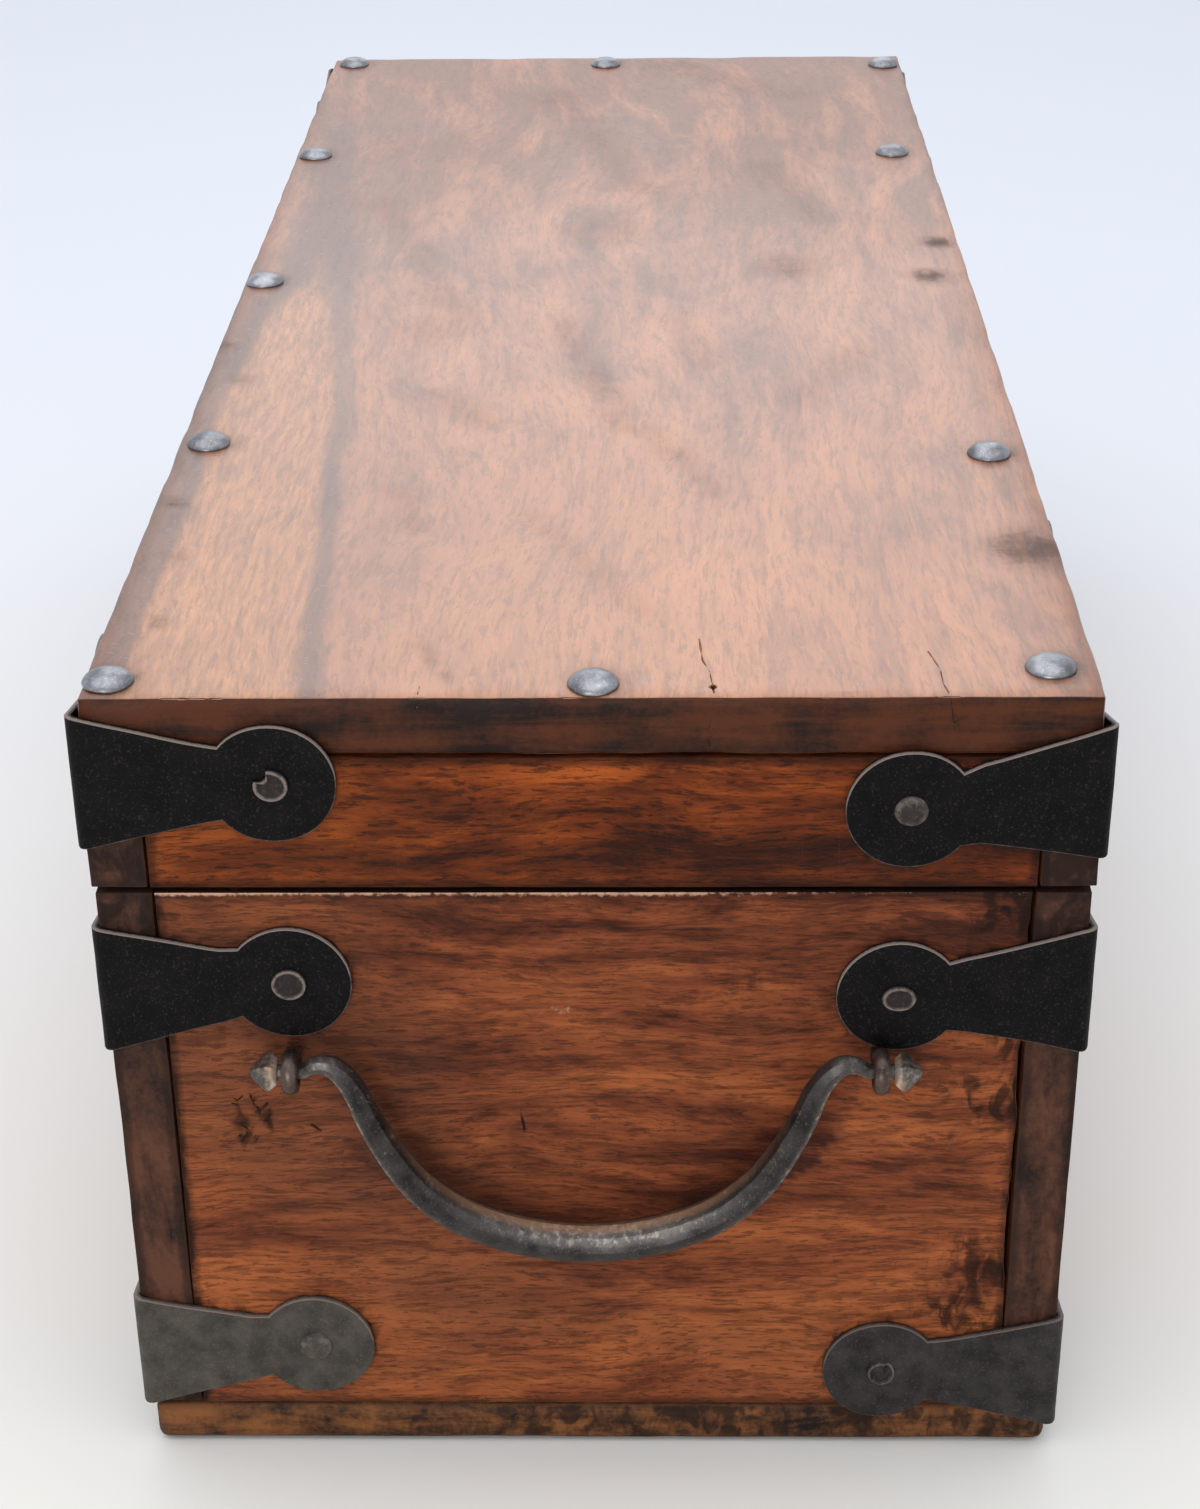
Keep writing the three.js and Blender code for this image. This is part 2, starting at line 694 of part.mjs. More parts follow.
function leafGeometry(leaf, barrel, sink) {
  const outer = barrelRadius(barrel);
  const armStart = outer + leafNotch;
  const back = outer + sink;
  const shape = keyholeShape(leaf, leaf.reach - armStart, 0, 0);
  const sheet = plate(shape, barrel.thickness).rotateZ(quarterTurn).rotateX(quarterTurn);
  sheet.translate(0, back, armStart);
  const spans = leaf.knuckles.map((number) => knuckleSpan(leaf.armWidth, number));
  const knuckles = spans.map((span) => knuckle(span, barrel));
  const tabs = spans.map((span) => knuckleTab(span, barrel, sink));
  const rivets = leafRivetHeights(leaf, barrel).map((height) => {
    return rivet(barrel.thickness).rotateX(quarterTurn).translate(0, back, height);
  });
  return join(sheet, ...knuckles, ...tabs, ...rivets);
}

function addLeaf(parent, name, leaf, barrel, sink, turn) {
  const mesh = addPiece(parent, name, leafGeometry(leaf, barrel, sink), blackIron);
  mesh.rotation.y = turn;
  const back = barrelRadius(barrel) + sink;
  leafRivetHeights(leaf, barrel).forEach((height) => {
    addHole(mesh, rivetHole().rotateX(quarterTurn).translate(0, back, height));
  });
}

// Peened pin: a rod whose ends are hammered into low heads outside the barrel
function hingePin(radius, width) {
  const headRadius = radius * pinHeadShares.radius;
  const headHeight = radius * pinHeadShares.height;
  const half = width / 2 + seatGap;
  const tip = half + headHeight;
  const crown = [headRadius * pinCrownShares.radius, half + headHeight * pinCrownShares.height];
  const oneEnd = [[radius, half], [headRadius, half], crown, [0, tip]];
  const otherEnd = oneEnd.map(([r, h]) => [r, -h]).reverse();
  const profile = [...otherEnd, ...oneEnd].map(([r, h]) => new THREE.Vector2(r, h));
  return new THREE.LatheGeometry(profile, barrelSegments).rotateZ(quarterTurn);
}

// Each hinge stands outside one of the two middle nails of the back, clear of its shank
const hingeNailShares = { right: backNailShares[1][0], left: backNailShares[2][0] };

function hingeAxisPlace(nailShare) {
  const x = nailShare * halfLength + Math.sign(nailShare) * hingeNailSpacing;
  const offset = barrelRadius(hingeBarrel) + seatGap;
  return new THREE.Vector3(x, lidHalfWidth + offset, boxHeight + seamGap / 2);
}

function addHinge(box, lid, name, nailShare) {
  const boxSide = new THREE.Group();
  const lidSide = new THREE.Group();
  box.add(boxSide);
  lid.add(lidSide);
  [boxSide, lidSide].forEach((side) => {
    side.position.copy(hingeAxisPlace(nailShare));
    side.rotation.z = Math.PI;
  });
  addLeaf(lidSide, 'hinge_lid_leaf_' + name, lidLeaf, hingeBarrel, 0, 0);
  addLeaf(boxSide, 'hinge_box_leaf_' + name, boxLeaf, hingeBarrel, lidSideProud, Math.PI);
  addPiece(boxSide, 'hinge_pin_' + name, hingePin(hingeBarrel.pinRadius, hingeLeaf.armWidth), forgedIron);
}

// Hasp: a hanger on the lid, a slotted strap that swings from it, and a staple on the box

const haspAjar = THREE.MathUtils.degToRad(haspAjarDegrees);
const haspAxisY = -(lidHalfWidth + seatGap + barrelRadius(haspBarrel));
const haspAxisZ = lidBase + haspHingeRise;
const stapleStandOff = outerRadius(staple) + stapleFaceGap;
const staplePast = stapleStandOff + haspAxisY + halfWidth;

// Where the staple's centre meets the strap, from the barrel, when ajar and when closed
const slotAjar = stapleDrop * Math.cos(haspAjar) + staplePast * Math.sin(haspAjar);
const slotCentre = (slotAjar + stapleDrop) / 2;
const slotHalf = outerRadius(staple) + haspSlotClearance + Math.abs(stapleDrop - slotAjar) / 2;
const haspLength = slotCentre + slotHalf + haspEndMargin;

// The strap seen from the side: straight down from the barrel, curled outwards at its end
function haspStrip() {
  const half = haspBarrel.thickness / 2;
  const outer = haspCurlRadius + half;
  const inner = haspCurlRadius - half;
  const start = weldOverlap - barrelRadius(haspBarrel);
  const curlEnd = Math.PI + Math.PI * haspCurlShare;
  const side = new THREE.Shape();
  side.moveTo(-half, start);
  side.lineTo(-half, -haspLength);
  side.absarc(haspCurlRadius, -haspLength, outer, Math.PI, curlEnd);
  side.absarc(haspCurlRadius, -haspLength, inner, curlEnd, Math.PI, true);
  side.lineTo(half, start);
  const strip = new THREE.ExtrudeGeometry(side, {
    depth: haspWidth,
    curveSegments: curlSegments,
    bevelEnabled: false,
  });
  return strip.translate(0, 0, -haspWidth / 2).rotateX(quarterTurn).rotateZ(-quarterTurn);
}

// The strap seen from the front, with its slot
function haspOutline(span) {
  const half = haspWidth / 2;
  const endHalf = half * haspEndWidthShare;
  const neck = span.length / 2;
  const start = -(barrelRadius(haspBarrel) + leafNotch);
  const end = -haspLength - haspCurlRadius - cutOverrun;
  const slotRound = staple.width / 2 + haspSlotSideGap;
  const outline = new THREE.Shape();
  outline.moveTo(-neck, 0);
  outline.lineTo(-neck, start);
  outline.lineTo(-half, start - (half - neck));
  outline.lineTo(-endHalf, end);
  outline.lineTo(endHalf, end);
  outline.lineTo(half, start - (half - neck));
  outline.lineTo(neck, start);
  outline.lineTo(neck, 0);
  const slot = new THREE.Path();
  slot.absarc(0, slotHalf - slotCentre - slotRound, slotRound, 0, Math.PI);
  slot.absarc(0, slotRound - slotCentre - slotHalf, slotRound, Math.PI, 2 * Math.PI);
  outline.holes.push(slot);
  return outline;
}

function haspGeometry() {
  const span = knuckleSpan(hangerLeaf.armWidth, middleKnuckles[0]);
  const depth = 2 * (2 * haspCurlRadius + haspBarrel.thickness + cutOverrun);
  const punch = new THREE.ExtrudeGeometry(haspOutline(span), {
    depth,
    curveSegments: curlSegments,
    bevelEnabled: false,
  });
  punch.translate(0, 0, -depth / 2).rotateX(quarterTurn);
  return join(overlapOf(haspStrip(), punch), knuckle(span, haspBarrel));
}

function addHasp(box, lid, swing) {
  const axis = new THREE.Vector3(haspOffCentre, haspAxisY, haspAxisZ);
  const hanger = new THREE.Group();
  hanger.position.copy(axis);
  lid.add(hanger);
  addLeaf(hanger, 'hasp_hanger', hangerLeaf, haspBarrel, 0, 0);
  addPiece(hanger, 'hasp_pin', hingePin(haspBarrel.pinRadius, hangerLeaf.armWidth), forgedIron);
  const strap = addPiece(swing, 'hasp_strap', haspGeometry(), blackIron);
  strap.position.copy(axis);
  strap.rotation.x = -haspAjar;
  const place = new THREE.Vector3(haspOffCentre, -halfWidth, haspAxisZ - stapleDrop);
  addSplitEye(box, 'hasp_staple', staple, stapleStandOff, sideThickness, place, -quarterTurn);
}

// The whole chest

const chest = new THREE.Group();
const box = new THREE.Group();
const lid = new THREE.Group();
const swing = new THREE.Group();
const rightGrip = new THREE.Group();
const leftGrip = new THREE.Group();
chest.add(box, lid, swing, rightGrip, leftGrip);

addStrapRow(box, 'upper_strap', halfWidth, upperStrapHeights, upperRiseShares);
addStrapRow(box, 'lower_strap', halfWidth, lowerStrapHeights, lowerRiseShares);
addStrapRow(lid, 'lid_strap', lidHalfWidth, lidStrapHeights, lidRiseShares);
addLidNails(lid);
addBottomNails(box);
addHandleEyes(box, 'right_handle', 0);
addHandleEyes(box, 'left_handle', Math.PI);
addHandle(rightGrip, 'right_handle', 0);
addHandle(leftGrip, 'left_handle', Math.PI);
addHinge(box, lid, 'right', hingeNailShares.right);
addHinge(box, lid, 'left', hingeNailShares.left);
addHasp(box, lid, swing);
addBoxBoards(box);
addLidBoards(lid);

export default chest;
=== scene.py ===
"""Looks of an iron-bound hardwood chest with a lifting lid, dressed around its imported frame."""
import logging
import math
from dataclasses import dataclass, field
from enum import Enum

import bmesh
import bpy
from mathutils import Matrix, Vector, noise


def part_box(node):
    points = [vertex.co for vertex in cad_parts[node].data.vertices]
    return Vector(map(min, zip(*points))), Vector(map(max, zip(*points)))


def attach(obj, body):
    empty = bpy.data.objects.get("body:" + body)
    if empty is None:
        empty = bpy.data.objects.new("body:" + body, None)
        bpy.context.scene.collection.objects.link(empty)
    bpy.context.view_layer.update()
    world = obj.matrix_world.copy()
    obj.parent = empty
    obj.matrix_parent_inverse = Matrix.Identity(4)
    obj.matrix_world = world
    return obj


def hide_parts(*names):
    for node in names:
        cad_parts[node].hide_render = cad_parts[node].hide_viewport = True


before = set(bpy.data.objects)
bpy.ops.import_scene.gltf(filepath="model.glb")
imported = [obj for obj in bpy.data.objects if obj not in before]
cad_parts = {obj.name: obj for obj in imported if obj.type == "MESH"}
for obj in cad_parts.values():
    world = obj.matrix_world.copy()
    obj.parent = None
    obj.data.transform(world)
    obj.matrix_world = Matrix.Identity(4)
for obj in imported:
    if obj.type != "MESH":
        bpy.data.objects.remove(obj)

LOG = logging.getLogger("chest")
MM = 0.001
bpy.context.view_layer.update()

Triple = tuple[float, float, float]
Colour = tuple[float, float, float, float]
Profile = list[tuple[float, float]]
Mesh = bmesh.types.BMesh
Paint = bpy.types.Material
Piece = bpy.types.Object
Tree = bpy.types.NodeTree
Socket = bpy.types.NodeSocket
Outputs = bpy.types.NodeOutputs

# Sizes that several classes need, in millimetres
END_X = 253.0           # faces of the box's ends
SIDE_Y = 100.7          # faces of the box's sides
SEAM_Y = 88.7           # joints between end and side boards
JOINT_Z = 145.0         # joint between box and lid
TOP_Z = 188.6           # face of the lid
NAIL_HEAD = 2.4         # least depth of a lid nail's head
BAIL_Z = 105.7995       # axis that a bail swings on
BAIL_DROP = 43.8        # how far a bail hangs below it
BAIL_SHIFT = 1.8        # how far a bail sits off the middle of its end


# Small helpers

def rgb(red: float, green: float, blue: float) -> Colour:
    """Turns a screen colour of 0 to 255 into the linear colour that shaders use."""
    shares = [channel / 255 for channel in (red, green, blue)]
    return (*(s / 12.92 if s <= 0.04045 else ((s + 0.055) / 1.055) ** 2.4 for s in shares), 1.0)


def ease(value: float, low: float, high: float) -> float:
    """Rises smoothly from 0 at low to 1 at high."""
    share = min(max((value - low) / (high - low), 0.0), 1.0)
    return share * share * (3 - 2 * share)


def ripple(point: Vector, scale: float, seed: float) -> float:
    """Smooth unevenness from -1 to 1 at a point.

    Args:
        point: place in metres.
        scale: bumps per metre, roughly.
        seed: shifts the pattern, so that two pieces differ.

    Returns:
        The height of the unevenness there.
    """
    return noise.noise(point * scale + Vector((seed * 3.1, -seed * 1.7, seed * 0.9)))


def path_distance(point: Vector, path: list[Vector]) -> float:
    """Distance from a point to a line of straight pieces.

    Args:
        point: the place that is asked about.
        path: the corners of the line.

    Returns:
        The shortest distance in metres.
    """
    best = 1.0
    for start, end in zip(path, path[1:]):
        if (point - start).length - (end - start).length > best:
            continue
        run = end - start
        along = min(max((point - start).dot(run) / run.length_squared, 0.0), 1.0)
        best = min(best, (point - start - run * along).length)
    return best


def path_length(path: list[Vector]) -> float:
    """Length of a line of straight pieces."""
    return sum((end - start).length for start, end in zip(path, path[1:]))


def on_top(*places: tuple[float, float]) -> list[Triple]:
    """Places on the lid's face, from their X and Y in millimetres."""
    return [(x, y, TOP_Z) for x, y in places]


def on_end(*places: tuple[float, float]) -> list[Triple]:
    """Places on the photographed end, from their Y and Z in millimetres."""
    return [(END_X, y, z) for y, z in places]


# Shader nodes

class NodeSheet:
    """Adds shader nodes to one node tree and wires them."""

    def __init__(self, tree: Tree) -> None:
        """Keeps the tree that the nodes go into."""
        self.tree = tree

    def plug(self, socket: Socket, value: object) -> None:
        """Links a socket to another one, or sets it to a value.

        Args:
            socket: the input.
            value: another socket, or what the input is set to.
        """
        if isinstance(value, bpy.types.NodeSocket):
            self.tree.links.new(value, socket)
        else:
            socket.default_value = value

    def feed(self, node: bpy.types.Node, inputs: dict) -> None:
        """Plugs values or sockets into a node's inputs, by their names or numbers."""
        for name, value in inputs.items():
            self.plug(node.inputs[name], value)

    def add(self, kind: str, inputs: dict | None = None, **settings: object) -> bpy.types.Node:
        """Adds one node.

        Args:
            kind: the node's type name.
            inputs: values or sockets by the name or number of the input.
            settings: the node's own properties.

        Returns:
            The new node.
        """
        node = self.tree.nodes.new(kind)
        for name, value in settings.items():
            setattr(node, name, value)
        self.feed(node, inputs or {})
        return node

    def math(self, operation: str, first: object, second: object = 0.0) -> Socket:
        """A number worked out from two others."""
        return self.add("ShaderNodeMath", {0: first, 1: second}, operation=operation).outputs[0]

    def times(self, first: object, second: object) -> Socket:
        """The product of two numbers."""
        return self.math("MULTIPLY", first, second)

    def plus(self, first: object, second: object) -> Socket:
        """The sum of two numbers."""
        return self.math("ADD", first, second)

    def minus(self, first: object, second: object) -> Socket:
        """The first number less the second."""
        return self.math("SUBTRACT", first, second)

    def larger(self, first: object, second: object) -> Socket:
        """The larger of two numbers."""
        return self.math("MAXIMUM", first, second)

    def vector(self, operation: str, first: object, second: object = (0.0, 0.0, 0.0)) -> Socket:
        """A vector worked out from two others."""
        return self.add("ShaderNodeVectorMath", {0: first, 1: second}, operation=operation).outputs[0]

    def step(self, value: object, low: float, high: float, top: float = 1.0) -> Socket:
        """A smooth rise from 0 at low to top at high."""
        inputs = {"Value": value, "From Min": low, "From Max": high, "To Min": 0.0, "To Max": top}
        return self.add("ShaderNodeMapRange", inputs, interpolation_type="SMOOTHSTEP").outputs[0]

    def span(self, value: object, low: float, high: float) -> Socket:
        """A straight rise from low at 0 to high at 1."""
        return self.add("ShaderNodeMapRange", {"Value": value, "To Min": low, "To Max": high}).outputs[0]

    def mix(self, share: object, first: object, second: object, blend: str = "MIX") -> Socket:
        """A colour between two others."""
        inputs = {0: share, 6: first, 7: second}
        return self.add("ShaderNodeMix", inputs, data_type="RGBA", blend_type=blend).outputs[2]

    def noise(self, vector: object, stretch: Triple, detail: float = 3.0,
              roughness: float = 0.5, bend: float = 0.0) -> Socket:
        """Smooth noise from 0 to 1.

        Args:
            vector: the place in metres.
            stretch: waves per metre along each axis.
            detail: how many finer layers are added.
            roughness: how strong the finer layers are.
            bend: how much the pattern is bent.

        Returns:
            The noise's value socket.
        """
        scaled = self.vector("MULTIPLY", vector, stretch)
        inputs = {"Vector": scaled, "Scale": 1.0, "Detail": detail, "Roughness": roughness,
                  "Distortion": bend}
        return self.add("ShaderNodeTexNoise", inputs).outputs[0]

    def ramp(self, value: object, stops: list[tuple[float, Colour]]) -> Socket:
        """A colour picked along a row of colours.

        Args:
            value: the place along the row, from 0 to 1.
            stops: place and colour of each stop.

        Returns:
            The colour's socket.
        """
        node = self.add("ShaderNodeValToRGB", {0: value})
        elements = node.color_ramp.elements
        while len(elements) < len(stops):
            elements.new(0.5)
        for element, (place, colour) in zip(elements, stops):
            element.position = place
            element.color = colour
        return node.outputs[0]

    def painted(self, name: str) -> Socket:
        """A mask that was painted on the piece's points."""
        return self.add("ShaderNodeAttribute", attribute_name=name).outputs["Fac"]

    def group(self, tree: Tree, inputs: dict) -> Outputs:
        """Places a shared effect and returns its outputs."""
        return self.add("ShaderNodeGroup", inputs, node_tree=tree).outputs


def new_paint(name: str) -> tuple[Paint, NodeSheet]:
    """Starts a material.

    Args:
        name: the material's name.

    Returns:
        The material and the sheet of its nodes.
    """
    paint = bpy.data.materials.new(name)
    paint.use_nodes = True
    return paint, NodeSheet(paint.node_tree)


def shared_effect(name: str, inputs: dict[str, str], outputs: list[str]
                  ) -> tuple[NodeSheet, Outputs, bpy.types.NodeInputs]:
    """Starts a node group.

    Args:
        name: the group's name.
        inputs: kind of socket by input name, Vector or Float.
        outputs: names of the number outputs.

    Returns:
        The group's sheet, the sockets that bring its inputs, and those that take its outputs.
    """
    tree = bpy.data.node_groups.new(name, "ShaderNodeTree")
    for label, kind in inputs.items():
        tree.interface.new_socket(label, in_out="INPUT", socket_type="NodeSocket" + kind)
    for label in outputs:
        tree.interface.new_socket(label, in_out="OUTPUT", socket_type="NodeSocketFloat")
    sheet = NodeSheet(tree)
    return sheet, sheet.add("NodeGroupInput").outputs, sheet.add("NodeGroupOutput").inputs


class SharedEffects:
    """The node groups that several finishes use."""

    def __init__(self) -> None:
        """Builds every group once."""
        self.timber = self._timber_figure()
        self.edges = self._board_edges()
        self.broken = self._broken_mask()
        self.iron = self._iron_skin()

    def _timber_figure(self) -> Tree:
        """Bands, clouds, streaks, hairs, fibres and scratches of sawn wood, grain along X.

        Returns:
            The node group.
        """
        names = ["Figure", "Cloud", "Tone", "Streak", "Hair", "Fibre", "Scratch"]
        inputs = {"Vector": "Vector", "Sway": "Float"}
        sheet, given, out = shared_effect("timber_figure", inputs, names)
        place = given["Vector"]
        slow = sheet.minus(sheet.noise(place, (5, 11, 11), 2), 0.5)
        quick = sheet.minus(sheet.noise(place, (20, 55, 55), 3), 0.5)
        sway = sheet.plus(slow, sheet.times(quick, 0.22))
        sway = sheet.times(sway, given["Sway"])
        shift = sheet.add("ShaderNodeCombineXYZ", {"Y": sway, "Z": sway}).outputs[0]
        bent = sheet.vector("ADD", place, shift)
        sheet.plug(out["Figure"], sheet.noise(bent, (7, 120, 120), 5, 0.68))
        sheet.plug(out["Cloud"], sheet.noise(bent, (26, 85, 85), 5, 0.68, 0.5))
        sheet.plug(out["Tone"], sheet.noise(place, (6, 13, 13), 3, 0.55, 0.4))
        streak = sheet.noise(bent, (70, 640, 640), 5, 0.7)
        sheet.plug(out["Streak"], sheet.step(streak, 0.49, 0.6))
        hair = sheet.noise(bent, (190, 1250, 1250), 3, 0.7)
        sheet.plug(out["Hair"], sheet.step(hair, 0.53, 0.61))
        sheet.plug(out["Fibre"], sheet.noise(bent, (300, 2600, 2600), 3, 0.7))
        lines = []
        for turn, low in ((0.5, 0.69), (-0.9, 0.71), (1.7, 0.72)):
            across = sheet.add("ShaderNodeMapping", {"Vector": place, "Rotation": (turn, turn, turn)})
            line = sheet.noise(across.outputs[0], (26, 1300, 1300), 1, 0.4)
            lines.append(sheet.step(line, low, low + 0.05))
        sheet.plug(out["Scratch"], sheet.larger(lines[0], sheet.larger(*lines[1:])))
        return sheet.tree

    def _board_edges(self) -> Tree:
        """Distance in metres to the nearest edge of a board, from its middle and half size.

        Returns:
            The node group.
        """
        inputs = {"Vector": "Vector", "Centre": "Vector", "Half": "Vector"}
        sheet, given, out = shared_effect("board_edges", inputs, ["Distance"])
        away = sheet.vector("ABSOLUTE", sheet.vector("SUBTRACT", given["Vector"], given["Centre"]))
        left = sheet.add("ShaderNodeSeparateXYZ", {0: sheet.vector("SUBTRACT", given["Half"], away)})
        x, y, z = left.outputs
        low, high = sheet.math("MINIMUM", x, y), sheet.larger(x, y)
        sheet.plug(out["Distance"], sheet.larger(low, sheet.math("MINIMUM", high, z)))
        return sheet.tree

    def _broken_mask(self) -> Tree:
        """Turns a soft amount into a patchy mask with a ragged border.

        Returns:
            The node group.
        """
        inputs = {"Amount": "Float", "Vector": "Vector", "Scale": "Float"}
        sheet, given, out = shared_effect("broken_mask", inputs, ["Mask"])
        scaled = sheet.add("ShaderNodeVectorMath", {0: given["Vector"], "Scale": given["Scale"]},
                           operation="SCALE").outputs[0]
        grit = sheet.noise(scaled, (1, 1, 1), 5, 0.65)
        total = sheet.plus(given["Amount"], sheet.span(grit, -0.75, 0.75))
        sheet.plug(out["Mask"], sheet.step(total, 0.32, 0.68))
        return sheet.tree

    def _iron_skin(self) -> Tree:
        """Mottle, specks, scratches and hammered height of forged iron.

        Returns:
            The node group.
        """
        names = ["Mottle", "Specks", "Scratches", "Height"]
        sheet, given, out = shared_effect("iron_skin", {"Vector": "Vector"}, names)
        place = given["Vector"]
        mottle = sheet.noise(place, (170, 170, 170), 5, 0.62)
        specks = sheet.noise(place, (1900, 1900, 1900), 2, 0.5)
        tilted = sheet.add("ShaderNodeMapping", {"Vector": place, "Rotation": (0.6, 0.4, 0.9)})
        fine = sheet.noise(tilted.outputs[0], (90, 2600, 2600), 2, 0.5)
        cross = sheet.noise(tilted.outputs[0], (2600, 2600, 120), 2, 0.5)
        scratches = sheet.larger(sheet.step(fine, 0.66, 0.74), sheet.step(cross, 0.68, 0.75))
        hammered = sheet.noise(place, (320, 320, 320), 3, 0.5)
        sheet.plug(out["Mottle"], mottle)
        sheet.plug(out["Specks"], sheet.step(specks, 0.6, 0.7))
        sheet.plug(out["Scratches"], scratches)
        sheet.plug(out["Height"], sheet.plus(sheet.times(mottle, 0.5), hammered))
        return sheet.tree


EFFECTS = SharedEffects()


class GrainRun(Enum):
    """Which way the grain of a board runs."""

    LENGTHWAYS = 0.0
    CROSSWAYS = math.pi / 2


@dataclass(frozen=True)
class TimberFinish:
    """Old oiled hardwood: colours of the face, the end grain, the dirt and the worn edges."""

    name: str
    dark: Colour
    middle: Colour
    light: Colour
    cloud: Colour
    end_dark: Colour
    end_light: Colour
    grime: Colour
    worn: Colour
    pale: Colour
    grain: GrainRun = GrainRun.LENGTHWAYS
    sap_dark: Colour | None = None
    sap_light: Colour | None = None
    sap_streak: Colour | None = None
    cloud_share: float = 0.5
    streak_share: float = 0.62
    hair_share: float = 0.55
    scratch_share: float = 0.03
    sway: float = 0.03
    fibre: float = 0.3
    zoom: float = 1.0
    scratch: Colour = rgb(128, 108, 104)
    soft_dirt: float = 0.0
    end_stretch: Triple = (60, 90, 22)
    edge_width: float = 1.2 * MM
    edge_worn: float = 0.35
    edge_dirt: float = 0.5
    roughness: tuple[float, float] = (0.46, 0.62)
    specular: float = 0.16
    coat: float = 0.0
    bump: float = 0.2

    def material(self, node: str, seed: float) -> Paint:
        """Builds the finish for one board.

        Args:
            node: the board's name, whose box gives the edges.
            seed: shifts the figure, so that no two boards are alike.

        Returns:
            The board's own material.
        """
        paint, sheet = new_paint(self.name + "_" + node)
        spot = sheet.add("ShaderNodeTexCoord").outputs
        place = spot["Object"]
        laid = sheet.add("ShaderNodeMapping", {
            "Vector": place, "Location": (seed * 0.37, seed * 0.11, seed * 0.05),
            "Rotation": (0, 0, self.grain.value), "Scale": (self.zoom,) * 3}).outputs[0]
        wood = sheet.group(EFFECTS.timber, {"Vector": laid, "Sway": self.sway})
        level = sheet.plus(sheet.times(wood["Cloud"], 0.55), sheet.times(wood["Figure"], 0.45))
        # the painted tone shifts the wood darker or lighter: on the end boards it holds painted light and
        # shade, on the lid a painted highlight at the near end
        level = sheet.minus(level, sheet.times(sheet.painted("tone"), 0.1))
        colour = sheet.ramp(level, [(0.38, self.dark), (0.49, self.middle), (0.62, self.light)])
        cloud = sheet.step(wood["Tone"], 0.44, 0.66, self.cloud_share)
        colour = sheet.mix(cloud, colour, self.cloud)
        colour = self._sapwood(sheet, colour, wood, place)
        shade = sheet.mix(0.65, colour, self.grime)
        colour = sheet.mix(sheet.times(wood["Streak"], self.streak_share), colour, shade)
        colour = sheet.mix(sheet.times(wood["Hair"], self.hair_share), colour, shade)
        fibre = sheet.span(wood["Fibre"], 1 - self.fibre, 1 + self.fibre)
        tint = sheet.add("ShaderNodeCombineColor", {0: fibre, 1: fibre, 2: fibre}).outputs[0]
        colour = sheet.mix(1.0, colour, tint, "MULTIPLY")
        face = self._long_grain(sheet, spot["Normal"])
        colour = sheet.mix(face, self._end_grain(sheet, place), colour)
        scratches = sheet.times(wood["Scratch"], face)
        colour = sheet.mix(sheet.times(scratches, self.scratch_share), colour, self.scratch)
        colour, dirt = self._edges(sheet, colour, node, place)
        # dirt, and the painted shade in the lid joint
        soot_and_shade = self._soot_and_shade(sheet, place)
        dirt_and_shade_colour = sheet.mix(face, self.end_dark, self.grime)
        colour = sheet.mix(soot_and_shade, colour, dirt_and_shade_colour)
        # pale scuffs, and the painted highlight on the end boards' top edges
        rubbed_and_lit = sheet.painted("pale")
        pale = sheet.group(EFFECTS.broken, {"Amount": sheet.minus(rubbed_and_lit, 0.15),
                                            "Vector": laid, "Scale": 620.0})["Mask"]
        colour = sheet.mix(sheet.times(pale, rubbed_and_lit), colour, self.pale)
        dull = sheet.plus(sheet.span(wood["Tone"], *self.roughness),
                          sheet.times(sheet.larger(soot_and_shade, dirt), 0.2))
        clean = sheet.minus(1.0, soot_and_shade)
        # the coat thins where the painted tone is dark
        undarkened = sheet.minus(1.0, sheet.step(sheet.painted("tone"), 0.1, 1.2, 0.4))
        glossy = sheet.times(undarkened, self.coat)
        waxed = sheet.times(sheet.times(face, clean), glossy)
        marks = sheet.plus(wood["Hair"], sheet.times(wood["Streak"], 0.4))
        relief = sheet.minus(sheet.times(wood["Fibre"], 0.5),
                             sheet.plus(marks, sheet.times(wood["Scratch"], 0.4)))
        bump = {"Strength": self.bump, "Distance": 0.4 * MM, "Height": relief}
        sheet.feed(paint.node_tree.nodes["Principled BSDF"], {
            "Base Color": colour, "Roughness": dull, "Specular IOR Level": self.specular,
            "Coat Weight": waxed, "Coat Roughness": 0.4, "Coat IOR": 1.7,
            "Normal": sheet.add("ShaderNodeBump", bump).outputs[0]})
        return paint

    def _soot_and_shade(self, sheet: NodeSheet, place: Socket) -> Socket:
        """Dirt, with the painted shade at the lid joint, where it is painted: partly in ragged blots, partly
        a soft veil.

        Args:
            sheet: the board's node sheet.
            place: the place in the piece's own space.

        Returns:
            The share of dirt and painted shade.
        """
        painted = sheet.painted("grime")
        shape = sheet.span(sheet.noise(place, (230, 230, 150), 5, 0.56, 0.6), -0.95, 0.95)
        blots = sheet.step(sheet.plus(painted, shape), 0.32, 0.72)
        blots = sheet.times(blots, sheet.step(painted, 0.02, 0.6, 0.85))
        veil = sheet.times(painted, sheet.span(sheet.noise(place, (90, 90, 90), 4, 0.6), 0.1, 1.3))
        both = sheet.plus(sheet.times(blots, 1 - self.soft_dirt), sheet.times(veil, self.soft_dirt))
        return sheet.math("MINIMUM", both, 0.92)

